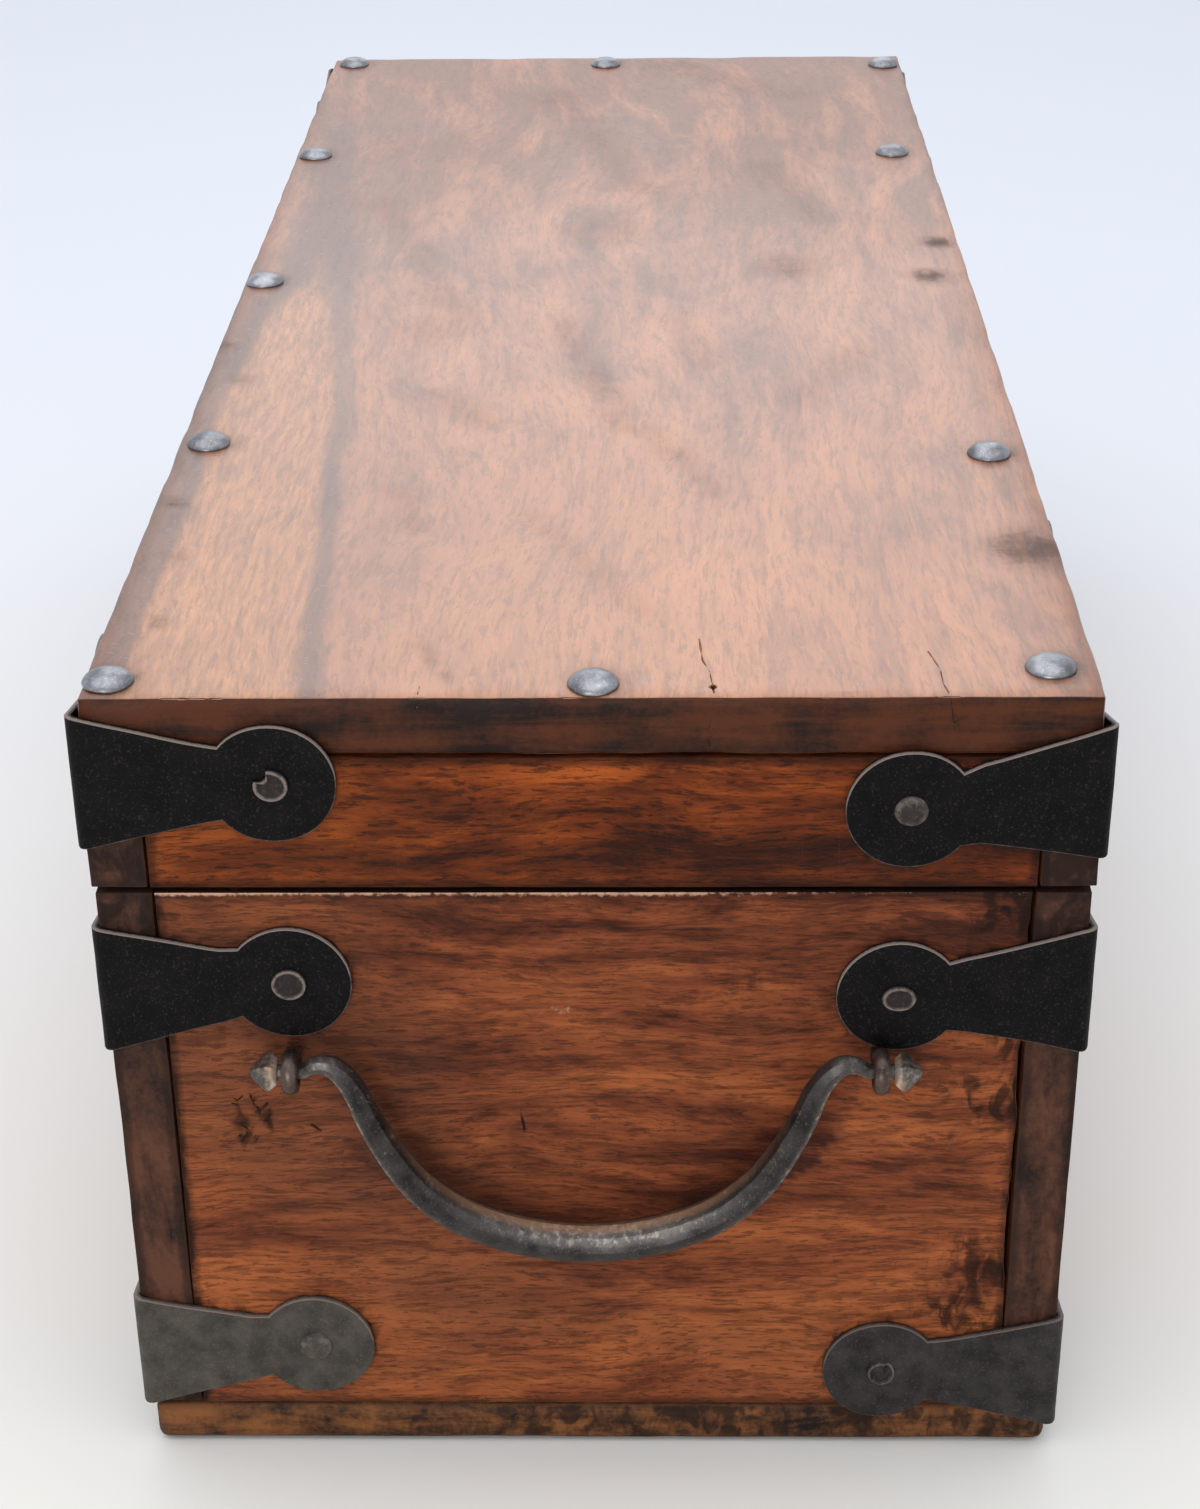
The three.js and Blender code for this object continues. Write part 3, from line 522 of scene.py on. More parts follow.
    def _sapwood(self, sheet: NodeSheet, colour: Socket, wood: Outputs,
                 place: Socket) -> Socket:
        """Adds the lighter speckled band and the dark line beside it, where they are painted.

        Args:
            sheet: the board's node sheet.
            colour: the wood's colour so far.
            wood: the shared timber figure.
            place: the place in the piece's own space.

        Returns:
            The new colour.
        """
        if self.sap_light is None:
            return colour
        amount = sheet.painted("sap")
        sway = sheet.span(sheet.noise(place, (16, 60, 60), 4, 0.6), -0.35, 0.35)
        level = sheet.plus(amount, sway)
        band = sheet.times(sheet.step(level, 0.35, 0.75), sheet.span(wood["Cloud"], 0.2, 1.1))
        speck = sheet.noise(place, (90, 800, 800), 4, 0.7)
        sap = sheet.ramp(speck, [(0.38, self.sap_dark), (0.6, self.sap_light)])
        colour = sheet.mix(sheet.times(band, 0.75), colour, sap)
        off = sheet.math("ABSOLUTE", sheet.minus(level, 0.42))
        line = sheet.minus(1.0, sheet.step(off, 0.05, 0.3))
        line = sheet.times(line, sheet.step(wood["Tone"], 0.3, 0.56, 0.85))
        return sheet.mix(line, colour, self.sap_streak)

    def _long_grain(self, sheet: NodeSheet, normal: Socket) -> Socket:
        """Mask that is 1 on the board's faces and 0 on its two cut ends.

        Args:
            sheet: the board's node sheet.
            normal: the way that the surface faces.

        Returns:
            The mask.
        """
        axis = (0.0, 1.0, 0.0) if self.grain is GrainRun.CROSSWAYS else (1.0, 0.0, 0.0)
        facing = sheet.add("ShaderNodeVectorMath", {0: normal, 1: axis}, operation="DOT_PRODUCT")
        cut = sheet.step(sheet.math("ABSOLUTE", facing.outputs["Value"]), 0.55, 0.8)
        return sheet.minus(1.0, cut)

    def _end_grain(self, sheet: NodeSheet, place: Socket) -> Socket:
        """Colour of the cut ends, with darker, wavy rings.

        Args:
            sheet: the board's node sheet.
            place: the place in the piece's own space.

        Returns:
            The colour.
        """
        grit = sheet.noise(place, (700, 700, 700), 4, 0.7)
        rings = sheet.noise(place, self.end_stretch, 5, 0.66, 0.5)
        blots = sheet.noise(place, (60, 60, 45), 5, 0.66)
        level = sheet.plus(sheet.times(rings, 0.45), sheet.times(blots, 0.4))
        level = sheet.plus(level, sheet.times(grit, 0.15))
        return sheet.ramp(level, [(0.42, self.end_dark), (0.56, self.end_light)])

    def _edges(self, sheet: NodeSheet, colour: Socket, node: str, place: Socket
               ) -> tuple[Socket, Socket]:
        """Rubs the edges light and gathers dirt a little further in.

        Args:
            sheet: the board's node sheet.
            colour: the wood's colour so far.
            node: the board's name.
            place: the place in the piece's own space.

        Returns:
            The new colour, and the share of dirt.
        """
        low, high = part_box(node)
        half = (high - low) / 2
        distance = sheet.group(EFFECTS.edges, {
            "Vector": place, "Centre": tuple((low + high) / 2), "Half": tuple(half)})["Distance"]
        near = sheet.minus(1.0, sheet.step(distance, 0.0, self.edge_width))
        worn = sheet.group(EFFECTS.broken, {"Amount": near, "Vector": place, "Scale": 240.0})["Mask"]
        worn = sheet.times(sheet.times(worn, near), self.edge_worn)
        colour = sheet.mix(worn, colour, self.worn)
        wide = sheet.minus(1.0, sheet.step(distance, 0.0, self.edge_width * 3.5))
        dirt = sheet.group(EFFECTS.broken, {"Amount": wide, "Vector": place, "Scale": 150.0})["Mask"]
        dirt = sheet.times(sheet.times(dirt, wide), self.edge_dirt)
        return sheet.mix(dirt, colour, self.grime), dirt


@dataclass(frozen=True)
class IronFinish:
    """Forged or blackened iron with rubbed edges, rust flecks and fine scratches; the painted wear also
    holds painted highlights and reflections.
    """

    name: str
    dark: Colour
    light: Colour
    rubbed_and_lit: Colour
    rust: Colour
    metallic: float = 0.6
    roughness: tuple[float, float] = (0.35, 0.6)
    rubbed_share: float = 0.85
    scratch_share: float = 0.25
    speck_share: float = 0.2
    rust_share: float = 0.2
    specular: float = 0.4
    bump: float = 0.25
    mottle: tuple[float, float] = (0.35, 0.7)
    grit: float = 800.0
    soft: float = 0.0
    blush: Colour | None = None

    def material(self) -> Paint:
        """Builds the finish.

        Returns:
            The material, which several pieces may share.
        """
        paint, sheet = new_paint(self.name)
        place = sheet.add("ShaderNodeTexCoord").outputs["Object"]
        skin = sheet.group(EFFECTS.iron, {"Vector": place})
        colour = sheet.ramp(skin["Mottle"], [(self.mottle[0], self.dark), (self.mottle[1], self.light)])
        rust = sheet.step(sheet.noise(place, (420, 420, 420), 4, 0.7), 0.58, 0.72, self.rust_share)
        colour = sheet.mix(rust, colour, self.rust)
        marks = sheet.larger(sheet.times(skin["Scratches"], self.scratch_share),
                             sheet.times(skin["Specks"], self.speck_share))
        colour = sheet.mix(marks, colour, self.rubbed_and_lit)
        # the painted wear holds rubbed wear, and also painted highlights on the upper rims of the straps and
        # on the rivet heads, and a painted highlight and a painted reflection on the handles' facets
        amount = sheet.painted("wear")
        ragged = sheet.group(EFFECTS.broken, {"Amount": amount, "Vector": place, "Scale": self.grit})["Mask"]
        ragged = sheet.span(ragged, self.soft, 1.0)
        rubbed_and_lit = sheet.times(ragged, sheet.step(amount, 0.05, 0.8, self.rubbed_share))
        colour = sheet.mix(rubbed_and_lit, colour, self.rubbed_and_lit)
        if self.blush is not None:
            colour = sheet.mix(sheet.painted("blush"), colour, self.blush)
        dull = sheet.span(skin["Mottle"], self.roughness[1], self.roughness[0])
        dull = sheet.minus(dull, sheet.times(rubbed_and_lit, 0.08))
        metal = sheet.times(sheet.minus(1.0, rust), self.metallic)
        bump = {"Strength": self.bump, "Distance": 0.3 * MM, "Height": skin["Height"]}
        sheet.feed(paint.node_tree.nodes["Principled BSDF"], {
            "Base Color": colour, "Roughness": sheet.plus(dull, sheet.times(rust, 0.4)),
            "Metallic": metal, "Specular IOR Level": self.specular,
            "Normal": sheet.add("ShaderNodeBump", bump).outputs[0]})
        return paint


# Mesh helpers

def layer(bm: Mesh, name: str) -> bmesh.types.BMLayerItem:
    """The numbers that are painted on the points under a name, made if the mesh has none."""
    return bm.verts.layers.float.get(name) or bm.verts.layers.float.new(name)


def rounded(bm: Mesh, edges: list, offset: float, segments: int) -> list:
    """Rounds some edges.

    Args:
        bm: the mesh.
        edges: the edges.
        offset: how far from each edge the rounding starts.
        segments: how many facets it has.

    Returns:
        The points of the rounding.
    """
    return bmesh.ops.bevel(bm, geom=edges, offset=offset, offset_type="OFFSET", affect="EDGES",
                           segments=segments, profile=0.5, material=-1, clamp_overlap=True)["verts"]


def turned(bm: Mesh, profile: Profile, steps: int, loop: bool = False) -> list:
    """Spins a profile round the Z axis.

    Args:
        bm: the mesh that it is added to.
        profile: radius and height of each point, in metres.
        steps: how many facets go round.
        loop: whether the last point joins the first.

    Returns:
        The new points.
    """
    old = set(bm.verts)
    points = [bm.verts.new((radius, 0, height)) for radius, height in profile]
    pairs = list(zip(points, points[1:])) + ([(points[-1], points[0])] if loop else [])
    edges = [bm.edges.new(pair) for pair in pairs]
    bmesh.ops.spin(bm, geom=points + edges, cent=(0, 0, 0), axis=(0, 0, 1), dvec=(0, 0, 0),
                   angle=2 * math.pi, steps=steps, use_merge=True, use_duplicate=False)
    bmesh.ops.remove_doubles(bm, verts=[v for v in bm.verts if v not in old], dist=1e-6)
    return [v for v in bm.verts if v not in old]


def block(bm: Mesh, low: Vector, high: Vector, rounding: float) -> list:
    """Adds a block with rounded edges.

    Args:
        bm: the mesh that it is added to.
        low: its lowest corner.
        high: its highest corner.
        rounding: how far each edge is rounded.

    Returns:
        The new points.
    """
    old = set(bm.verts)
    size = high - low
    matrix = Matrix.Translation((low + high) / 2) @ Matrix.Diagonal((*size, 1))
    cube = bmesh.ops.create_cube(bm, size=1, matrix=matrix)["verts"]
    edges = list({edge for vert in cube for edge in vert.link_edges})
    rounded(bm, edges, rounding, 3)
    return [v for v in bm.verts if v not in old]


def grow(bm: Mesh, edges: list) -> tuple[list, list]:
    """Extrudes a row of edges on the spot.

    Args:
        bm: the mesh.
        edges: the border edges.

    Returns:
        The new border edges and their points.
    """
    made = bmesh.ops.extrude_edge_only(bm, edges=edges)["geom"]
    points = [item for item in made if isinstance(item, bmesh.types.BMVert)]
    fresh = set(points)
    border = [item for item in made
              if isinstance(item, bmesh.types.BMEdge) and all(v in fresh for v in item.verts)]
    return border, points


def thicken(bm: Mesh, thickness: float, rim: float) -> None:
    """Gives a flat sheet at Z = 0 its thickness, and rounds the rim of its outer side.

    Args:
        bm: the sheet.
        thickness: how thick it becomes, upwards.
        rim: how far the outer rim is rounded. The rounded points get a wear of 1, a pale rim line that is
            partly rubbed wear and partly a painted highlight of the edges.
    """
    made = bmesh.ops.extrude_face_region(bm, geom=bm.faces[:], use_keep_orig=True)["geom"]
    bmesh.ops.translate(bm, vec=(0, 0, thickness),
                        verts=[item for item in made if isinstance(item, bmesh.types.BMVert)])
    tops = [face for face in bm.faces if all(v.co.z > thickness / 2 for v in face.verts)]
    bmesh.ops.inset_region(bm, faces=tops, thickness=rim * 2.2, use_even_offset=True)
    bmesh.ops.recalc_face_normals(bm, faces=bm.faces)
    border = [edge for edge in bm.edges
              if all(v.co.z > thickness / 2 for v in edge.verts)
              and any(abs(face.normal.z) < 0.5 for face in edge.link_faces)
              and any(abs(face.normal.z) > 0.5 for face in edge.link_faces)]
    wear = layer(bm, "wear")
    for vert in rounded(bm, border, rim, 2):
        vert[wear] = 1.0


def paint_wear(bm: Mesh, points: list, amount: float) -> None:
    """Sets the wear of some points.

    Args:
        bm: the mesh.
        points: the points.
        amount: their wear, from 0 to 1.
    """
    wear = layer(bm, "wear")
    for point in points:
        if point.is_valid:
            point[wear] = amount


def shown(bm: Mesh, name: str, paint: Paint) -> Piece:
    """Turns a mesh under work into an object of the scene.

    Args:
        bm: the mesh, which is used up.
        name: the object's name.
        paint: its material.

    Returns:
        The object.
    """
    mesh = bpy.data.meshes.new(name)
    bm.to_mesh(mesh)
    bm.free()
    mesh.materials.append(paint)
    thing = bpy.data.objects.new(name, mesh)
    bpy.context.scene.collection.objects.link(thing)
    return thing


def finished(bm: Mesh, node: str, body: str, paint: Paint, crease: float = 38.0) -> Piece:
    """Turns a mesh under work into a piece of the chest.

    Args:
        bm: the mesh, which is used up.
        node: the frame's node that it stands for.
        body: the body that it moves with.
        paint: its material.
        crease: edges with a sharper turn than this, in degrees, stay crisp.

    Returns:
        The piece.
    """
    bmesh.ops.recalc_face_normals(bm, faces=bm.faces)
    limit = math.radians(crease)
    for face in bm.faces:
        face.smooth = True
    for edge in bm.edges:
        edge.smooth = len(edge.link_faces) == 2 and edge.calc_face_angle(0) < limit
    piece = shown(bm, node + "_dressed", paint)
    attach(piece, body)
    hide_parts(node)
    LOG.info("%s: %d faces, moves with %s", piece.name, len(piece.data.polygons), body)
    return piece


# Iron plates

@dataclass(frozen=True)
class Keyhole:
    """Sizes of a keyhole plate: an arm that narrows to a neck, and a disc beyond it."""

    root: float
    neck: float
    disc: float
    reach: float
    thickness: float

    def notch(self) -> float:
        """Distance from the root to the notches between neck and disc."""
        return self.reach - math.sqrt(self.disc ** 2 - self.neck ** 2)

    def half_width(self, along: float) -> float:
        """Half the arm's width at a distance from the root."""
        left = min(max(1 - along / self.notch(), 0.0), 1.0)
        return self.neck + (self.root - self.neck) * left ** 1.1

    def distance(self, along: float, across: float) -> float:
        """How far a place lies outside the outline, less than 0 inside."""
        disc = math.hypot(along - self.reach, across) - self.disc
        return disc if along > self.reach else min(disc, abs(across) - self.half_width(along))

    def sheet(self, rise: float, stations: list[float]) -> Mesh:
        """Draws the flat plate, its root on X = 0 and its disc out along +X.

        Args:
            rise: how far the disc sits off the arm's middle line.
            stations: places along the arm where it has a row of points, from the neck inwards.

        Returns:
            A mesh under work.
        """
        bm = bmesh.new()
        bmesh.ops.create_circle(bm, cap_ends=True, cap_tris=False, segments=56, radius=self.disc)
        face = bm.faces[:][0]
        for share in (0.3, 0.3, 0.22):
            bmesh.ops.inset_region(bm, faces=[face], thickness=self.disc * share)
        reach_back = -math.sqrt(self.disc ** 2 - self.neck ** 2) + self.disc * 0.03
        edges = [edge for edge in bm.edges
                 if edge.is_boundary and all(v.co.x < reach_back for v in edge.verts)]
        bmesh.ops.translate(bm, vec=(self.reach, rise, 0), verts=bm.verts)
        for along in stations:
            edges, points = grow(bm, edges)
            points.sort(key=lambda point: point.co.y)
            half = self.half_width(along)
            middle = rise * along / self.reach
            for number, point in enumerate(points):
                share = 2 * number / (len(points) - 1) - 1
                point.co = Vector((along, middle + half * share, 0))
        return bm


class HeadForm(Enum):
    """Forms of the small rivet heads, as radius and height shares from the middle outwards."""

    DOMED = ((0, 1), (0.3, 0.97), (0.58, 0.82), (0.8, 0.55), (0.94, 0.24), (1, 0))
    NOTCHED = ((0, 0.5), (0.5, 0.5), (0.68, 0.55), (0.8, 0.78), (0.9, 0.78), (0.98, 0.4), (1, 0))
    SWIRLED = ((0, 0.55), (0.3, 0.62), (0.5, 0.5), (0.7, 0.52), (0.84, 0.78), (0.93, 0.7), (1, 0))
    RINGED = ((0, 0.4), (0.5, 0.42), (0.66, 0.46), (0.76, 0.8), (0.86, 0.86), (0.96, 0.5), (1, 0))
    SPLIT = ((0, 0.9), (0.3, 0.86), (0.5, 0.5), (0.62, 0.44), (0.76, 0.72), (0.88, 0.66), (1, 0))


@dataclass
class RivetHead:
    """A hammered rivet head that lies on an iron plate."""

    form: HeadForm = HeadForm.DOMED
    radius: float = 3.7 * MM
    height: float = 1.6 * MM
    squash: float = 1.0
    turn: float = 0.0
    seed: float = 0.0
    # how light the head's face is painted: partly wear, partly a painted highlight
    shine: float = 0.3

    def add_to(self, bm: Mesh, base: Vector) -> None:
        """Adds the head.

        Args:
            bm: the plate, flat and with its outer side up.
            base: the middle of the head's underside.
        """
        profile = [(r * self.radius, h * self.height) for r, h in self.form.value]
        profile += [(self.radius * 0.92, -0.25 * MM), (0, -0.25 * MM)]
        points = turned(bm, profile, 36)
        wear = layer(bm, "wear")
        for point in points:
            angle = math.atan2(point.co.y, point.co.x)
            share = math.hypot(point.co.x, point.co.y) / self.radius
            rim = ease(share, 0.66, 0.8) * (1 - ease(share, 0.93, 1.0))
            rim_wear = 0.65 * rim if self.form is not HeadForm.DOMED else 0.5 * rim
            point[wear] = max(rim_wear, self.shine * (1 - ease(share, 0.75, 0.9)))
            if self.form is HeadForm.NOTCHED:
                bite = ease(math.cos(angle), 0.86, 1.0) * ease(share, 0.25, 0.7)
                point.co.x -= bite * self.radius * 0.42
            if self.form is HeadForm.SPLIT:
                slit = ease(math.cos(angle), 0.9, 1.0) * ease(share, 0.3, 0.6)
                point.co.z -= slit * self.height * 0.45 if point.co.z > 0 else 0.0
            if self.form is HeadForm.SWIRLED and point.co.z > 0:
                point.co.z += 0.09 * self.height * math.sin(angle * 2 + share * 9)
            shift = ripple(point.co, 260, self.seed)
            point.co += Vector((shift, -shift, 0.4 * shift if point.co.z > 0 else 0)) * 0.12 * MM
        place = Matrix.Translation(base) @ Matrix.Rotation(self.turn, 4, "Z")
        bmesh.ops.transform(bm, matrix=place @ Matrix.Diagonal((1, self.squash, 1, 1)), verts=points)


@dataclass
class CornerStrap:
    """A keyhole strap bent round one corner, with a rivet in each disc."""

    name: str
    body: str
    corner: Vector
    turn: float
    rise: float
    finish: Paint
    heads: tuple[RivetHead, RivetHead]
    seed: float = 0.0
    plate: Keyhole = Keyhole(root=14.8 * MM, neck=8.0 * MM, disc=12.9 * MM, reach=38.264 * MM,
                             thickness=1.3 * MM)
    seat: float = 0.2 * MM
    inner_radius: float = 1.1 * MM
    rim: float = 0.16 * MM
    stations: tuple[float, ...] = (24.4, 21, 17.5, 14, 10.5, 7.5, 5, 3, 1.7, 0.864, 0.43, 0)

    def build(self) -> Piece:
        """Makes the strap, flat first and then bent round its corner.

        Returns:
            The piece.
        """
        bm = self.plate.sheet(self.rise, [station * MM for station in self.stations])
        everything = bm.verts[:] + bm.edges[:] + bm.faces[:]
        bmesh.ops.mirror(bm, geom=everything, matrix=Matrix.Identity(4), merge_dist=1e-6, axis="X")
        bmesh.ops.remove_doubles(bm, verts=bm.verts, dist=2e-6)
        thicken(bm, self.plate.thickness, self.rim)
        wear = layer(bm, "wear")
        for point in bm.verts:
            # painted highlight: the rim line stays full on the upper edges, where light from above catches
            # them, and is dimmed below
            point[wear] *= 0.45 + 0.55 * ease(point.co.y - self.rise, 0, 6 * MM)
            uneven = ripple(point.co, 75, self.seed)
            point.co.x += uneven * 0.18 * MM
            point.co.y += ripple(point.co, 75, self.seed + 7) * 0.22 * MM
            if point.co.z > 0.2 * MM:
                point.co.z += ripple(point.co, 130, self.seed + 3) * 0.07 * MM
        for side, head in zip((1, -1), self.heads):
            head.add_to(bm, Vector((side * self.plate.reach, self.rise, self.plate.thickness)))
        for point in bm.verts:
            point.co = self._bent(point.co)
        place = Matrix.Translation(self.corner) @ Matrix.Rotation(self.turn, 4, "Z")
        bm.transform(place)
        return finished(bm, self.name, self.body, self.finish)

    def _bent(self, flat: Vector) -> Vector:
        """Bends a point of the flat strap round the corner.

        Args:
            flat: the point, with the strap's root at X = 0.

        Returns:
            Where it goes.
        """
        quarter = self.inner_radius * math.pi / 4
        start = self.inner_radius - self.seat
        if flat.x > quarter:
            return Vector((self.seat + flat.z, start + flat.x - quarter, flat.y))
        if flat.x < -quarter:
            return Vector((-start + flat.x + quarter, -self.seat - flat.z, flat.y))
        angle = (flat.x / quarter - 1) * math.pi / 4
        out = self.inner_radius + flat.z
        return Vector((out * math.cos(angle) - start, out * math.sin(angle) + start, flat.y))


@dataclass(frozen=True)
class StrapRow:
    """One level of corner straps: heights and slopes at the front and back corners."""

    name: str
    body: str
    across: float
    front_height: float
    back_height: float
    front_slope: float
    back_slope: float
    reach: float = 38.3 * MM

    def corners(self) -> list[tuple[str, Vector, float, float]]:
        """Name, corner, turn and disc rise of each of the four straps.

        Returns:
            One row for each strap.
        """
        x, y, quarter = END_X * MM, self.across, math.pi / 2
        front, back = self.front_slope * self.reach, self.back_slope * self.reach
        return [
            (self.name + "_front_right", Vector((x, -y, self.front_height)), 0.0, front),
            (self.name + "_back_right", Vector((x, y, self.back_height)), quarter, back),
            (self.name + "_back_left", Vector((-x, y, self.back_height)), math.pi, back),
            (self.name + "_front_left", Vector((-x, -y, self.front_height)), -quarter, front),
        ]

    def gap_to(self, point: Vector, normal: Vector, plate: Keyhole) -> float:
        """How far a place on the wood lies from the row's iron, in metres.

        Args:
            point: the place on the board, in metres.
            normal: the way that the surface faces there.
            plate: the outline of the straps.

        Returns:
            The distance, or 1 on a face that carries no strap.
        """
        x, y = END_X * MM, self.across
        front = point.y < 0
        height = self.front_height if front else self.back_height
        slope = self.front_slope if front else self.back_slope
        if abs(normal.x) > 0.6 and abs(abs(point.x) - x) < 3 * MM:
            along = y - abs(point.y)
        elif abs(normal.y) > 0.6 and abs(abs(point.y) - y) < 3 * MM:
            along = x - abs(point.x)
        else:
            return 1.0
        return plate.distance(along, point.z - height - slope * max(along, 0.0))


STRAP_ROWS = (
    StrapRow("lid_strap", "lid", 101.4 * MM, 170.1 * MM, 167.7 * MM, 0.0, -0.095),
    StrapRow("upper_strap", "box", SIDE_Y * MM, 121.8 * MM, 121.6 * MM, 0.05, -0.035),
    StrapRow("lower_strap", "box", SIDE_Y * MM, 26.8 * MM, 21.4 * MM, 0.055, 0.015),
)


# Boards

@dataclass
class Scar:
    """A crack, chip, pit or scratch in a board: a path on its surface."""

    path: list[Triple]
    width: float
    depth: float
    grime: float = 0.8

    def points(self) -> list[Vector]:
        """The path's corners in metres."""
        corners = [Vector(place) * MM for place in self.path]
        return corners if len(corners) > 1 else corners + [corners[0] + Vector((0, 0, 1e-5))]


@dataclass
class Board:
    """One board: a block that is divided finely, worn and stained."""

    node: str
    body: str
    finish: TimberFinish
    slot: str
    seed: float
    cell: float = 3.0 * MM
    rounding: float = 0.9 * MM
    wear: float = 0.5 * MM
    wave: float = 0.14 * MM
    scars: list[Scar] = field(default_factory=list)
    halo: float = 4.5 * MM
    low: Vector = field(init=False)
    high: Vector = field(init=False)

    def build(self) -> Piece:
        """Makes the board.

        Returns:
            The piece.
        """
        self.low, self.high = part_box(self.node)
        bm = bmesh.new()
        block(bm, self.low, self.high, self.rounding)
        for axis in range(3):
            self._divide(bm, axis)
        for scar in self.scars:
            path = scar.points()
            self._refine(bm, path, scar.width * 2 + 1.6 * self.cell, 2, 0.7 * self.cell)
            fine = 3 if scar.width > 0.5 * MM else 6
            self._refine(bm, path, scar.width * 2 + 0.45 * self.cell, fine, 0.25 * self.cell)
        bm.normal_update()
        self._weather(bm)
        self._stain(bm)
        self._carve(bm)
        paint = self.finish.material(self.node, self.seed)
        return finished(bm, self.node, self.body, paint)

    def _divide(self, bm: Mesh, axis: int) -> None:
        """Cuts the edges that run along one axis into cells.

        Args:
            bm: the board.
            axis: 0, 1 or 2 for X, Y or Z.
        """
        long_ones = []
        for edge in bm.edges:
            run = edge.verts[1].co - edge.verts[0].co
            if abs(run[axis]) > 0.98 * run.length and run.length > 2 * self.rounding:
                long_ones.append(edge)
        length = long_ones[0].calc_length()
        cuts = max(round(length / self.cell) - 1, 1)
        bmesh.ops.subdivide_edges(bm, edges=long_ones, cuts=cuts, use_grid_fill=True)

    def _refine(self, bm: Mesh, path: list[Vector], reach: float, cuts: int,
                coarse: float) -> None:
        """Divides the faces near a path more finely.

        Args:
            bm: the board.
            path: the path's corners.
            reach: how far from the path faces are divided.
            cuts: cuts in each edge.
            coarse: faces whose longest edge is shorter than this are left alone.
        """
        first, length = path[0], path_length(path)
        faces = []
        for face in bm.faces:
            middle = face.calc_center_median()
            if (middle - first).length < reach + length and path_distance(middle, path) < reach:
                if max(edge.calc_length() for edge in face.edges) > coarse:
                    faces.append(face)
        edges = list({edge for face in faces for edge in face.edges if edge.calc_length() > coarse / 2})
        bmesh.ops.subdivide_edges(bm, edges=edges, cuts=cuts, use_grid_fill=True)

    def _edge_gap(self, point: Vector) -> float:
        """Distance from a place on the surface to the board's nearest edge."""
        gaps = [min(point[i] - self.low[i], self.high[i] - point[i]) for i in range(3)]
        return sorted(gaps)[1]

    def _weather(self, bm: Mesh) -> None:
        """Makes the faces uneven and wears the edges, always inwards.

        Args:
            bm: the board.
        """
        for point in bm.verts:
            place = point.co.copy()
            broad = (ripple(place, 16, self.seed) - 1) / 2
            across = Vector((place.x * 0.2, place.y, place.z))
            fine = (ripple(across, 140, self.seed + 2) - 1) / 2
            edge = 1 - ease(self._edge_gap(place), 0, 2.6 * MM)
            bite = 0.35 + 0.65 * ease(ripple(place, 70, self.seed + 5), -0.2, 0.6)
            depth = self.wave * (0.7 * broad + 0.3 * fine) - self.wear * edge * bite
            point.co = place + point.normal * depth

    def _stain(self, bm: Mesh) -> None:
        """Paints dirt round the iron with the painted shade at the lid joint, pale rubbed places with
        painted highlights, the sapwood, and the tone with its painted light and shade.

        Args:
            bm: the board.
        """
        dirt = layer(bm, "grime")
        pale = layer(bm, "pale")
        sap = layer(bm, "sap")
        tone = layer(bm, "tone")
        plate = CornerStrap.plate
        rows = [row for row in STRAP_ROWS if row.body == self.body]
        for point in bm.verts:
            gap = min([row.gap_to(point.co, point.normal, plate) for row in rows])
            halo = 0.4 * (1 - ease(gap, 0, self.halo)) if gap > -1 * MM else 1.0
            # dirt, and the painted shade where the lid meets the box
            point[dirt] = max(halo, self.dirt_and_shade_at(point.co, point.normal))
            point[pale] = self.pale_at(point.co, point.normal)
            point[sap] = self.sap_at(point.co)
            point[tone] = self.tone_at(point.co)

    def dirt_and_shade_at(self, place: Vector, normal: Vector) -> float:
        """Dirt of this board's own, from 0 to 1, and painted shade: black where the lid meets the box, a
        painted shadow in the gap.
        """
        return 0.9 if abs(normal.z) > 0.7 and abs(place.z / MM - JOINT_Z) < 2.5 else 0.0

    def pale_at(self, place: Vector, normal: Vector) -> float:
        """Pale rubbed places and painted highlights of this board's own, from 0 to 1."""
        return 0.0

    def sap_at(self, place: Vector) -> float:
        """Sapwood of this board's own, from 0 to 1."""
        return 0.0

    def tone_at(self, place: Vector) -> float:
        """How much darker than usual the wood is, from 0 to 1; the boards paint shade and light into it."""
        return 0.0

    def _carve(self, bm: Mesh) -> None:
        """Sinks the scars into the surface.

        Args:
            bm: the board.
        """
        dirt = layer(bm, "grime")
        for scar in self.scars:
            path = scar.points()
            reach = path_length(path) + 2 * scar.width
            for point in bm.verts:
                if (point.co - path[0]).length > reach:
                    continue
                sway = ripple(point.co, 330, self.seed) * min(scar.width, 0.5 * MM)
                gap = path_distance(point.co, path) + sway
                if gap < scar.width:
                    share = 1 - ease(gap, scar.width * 0.25, scar.width)
                    point.co = point.co - point.normal * scar.depth * share
                    point[dirt] = max(point[dirt], scar.grime * share)


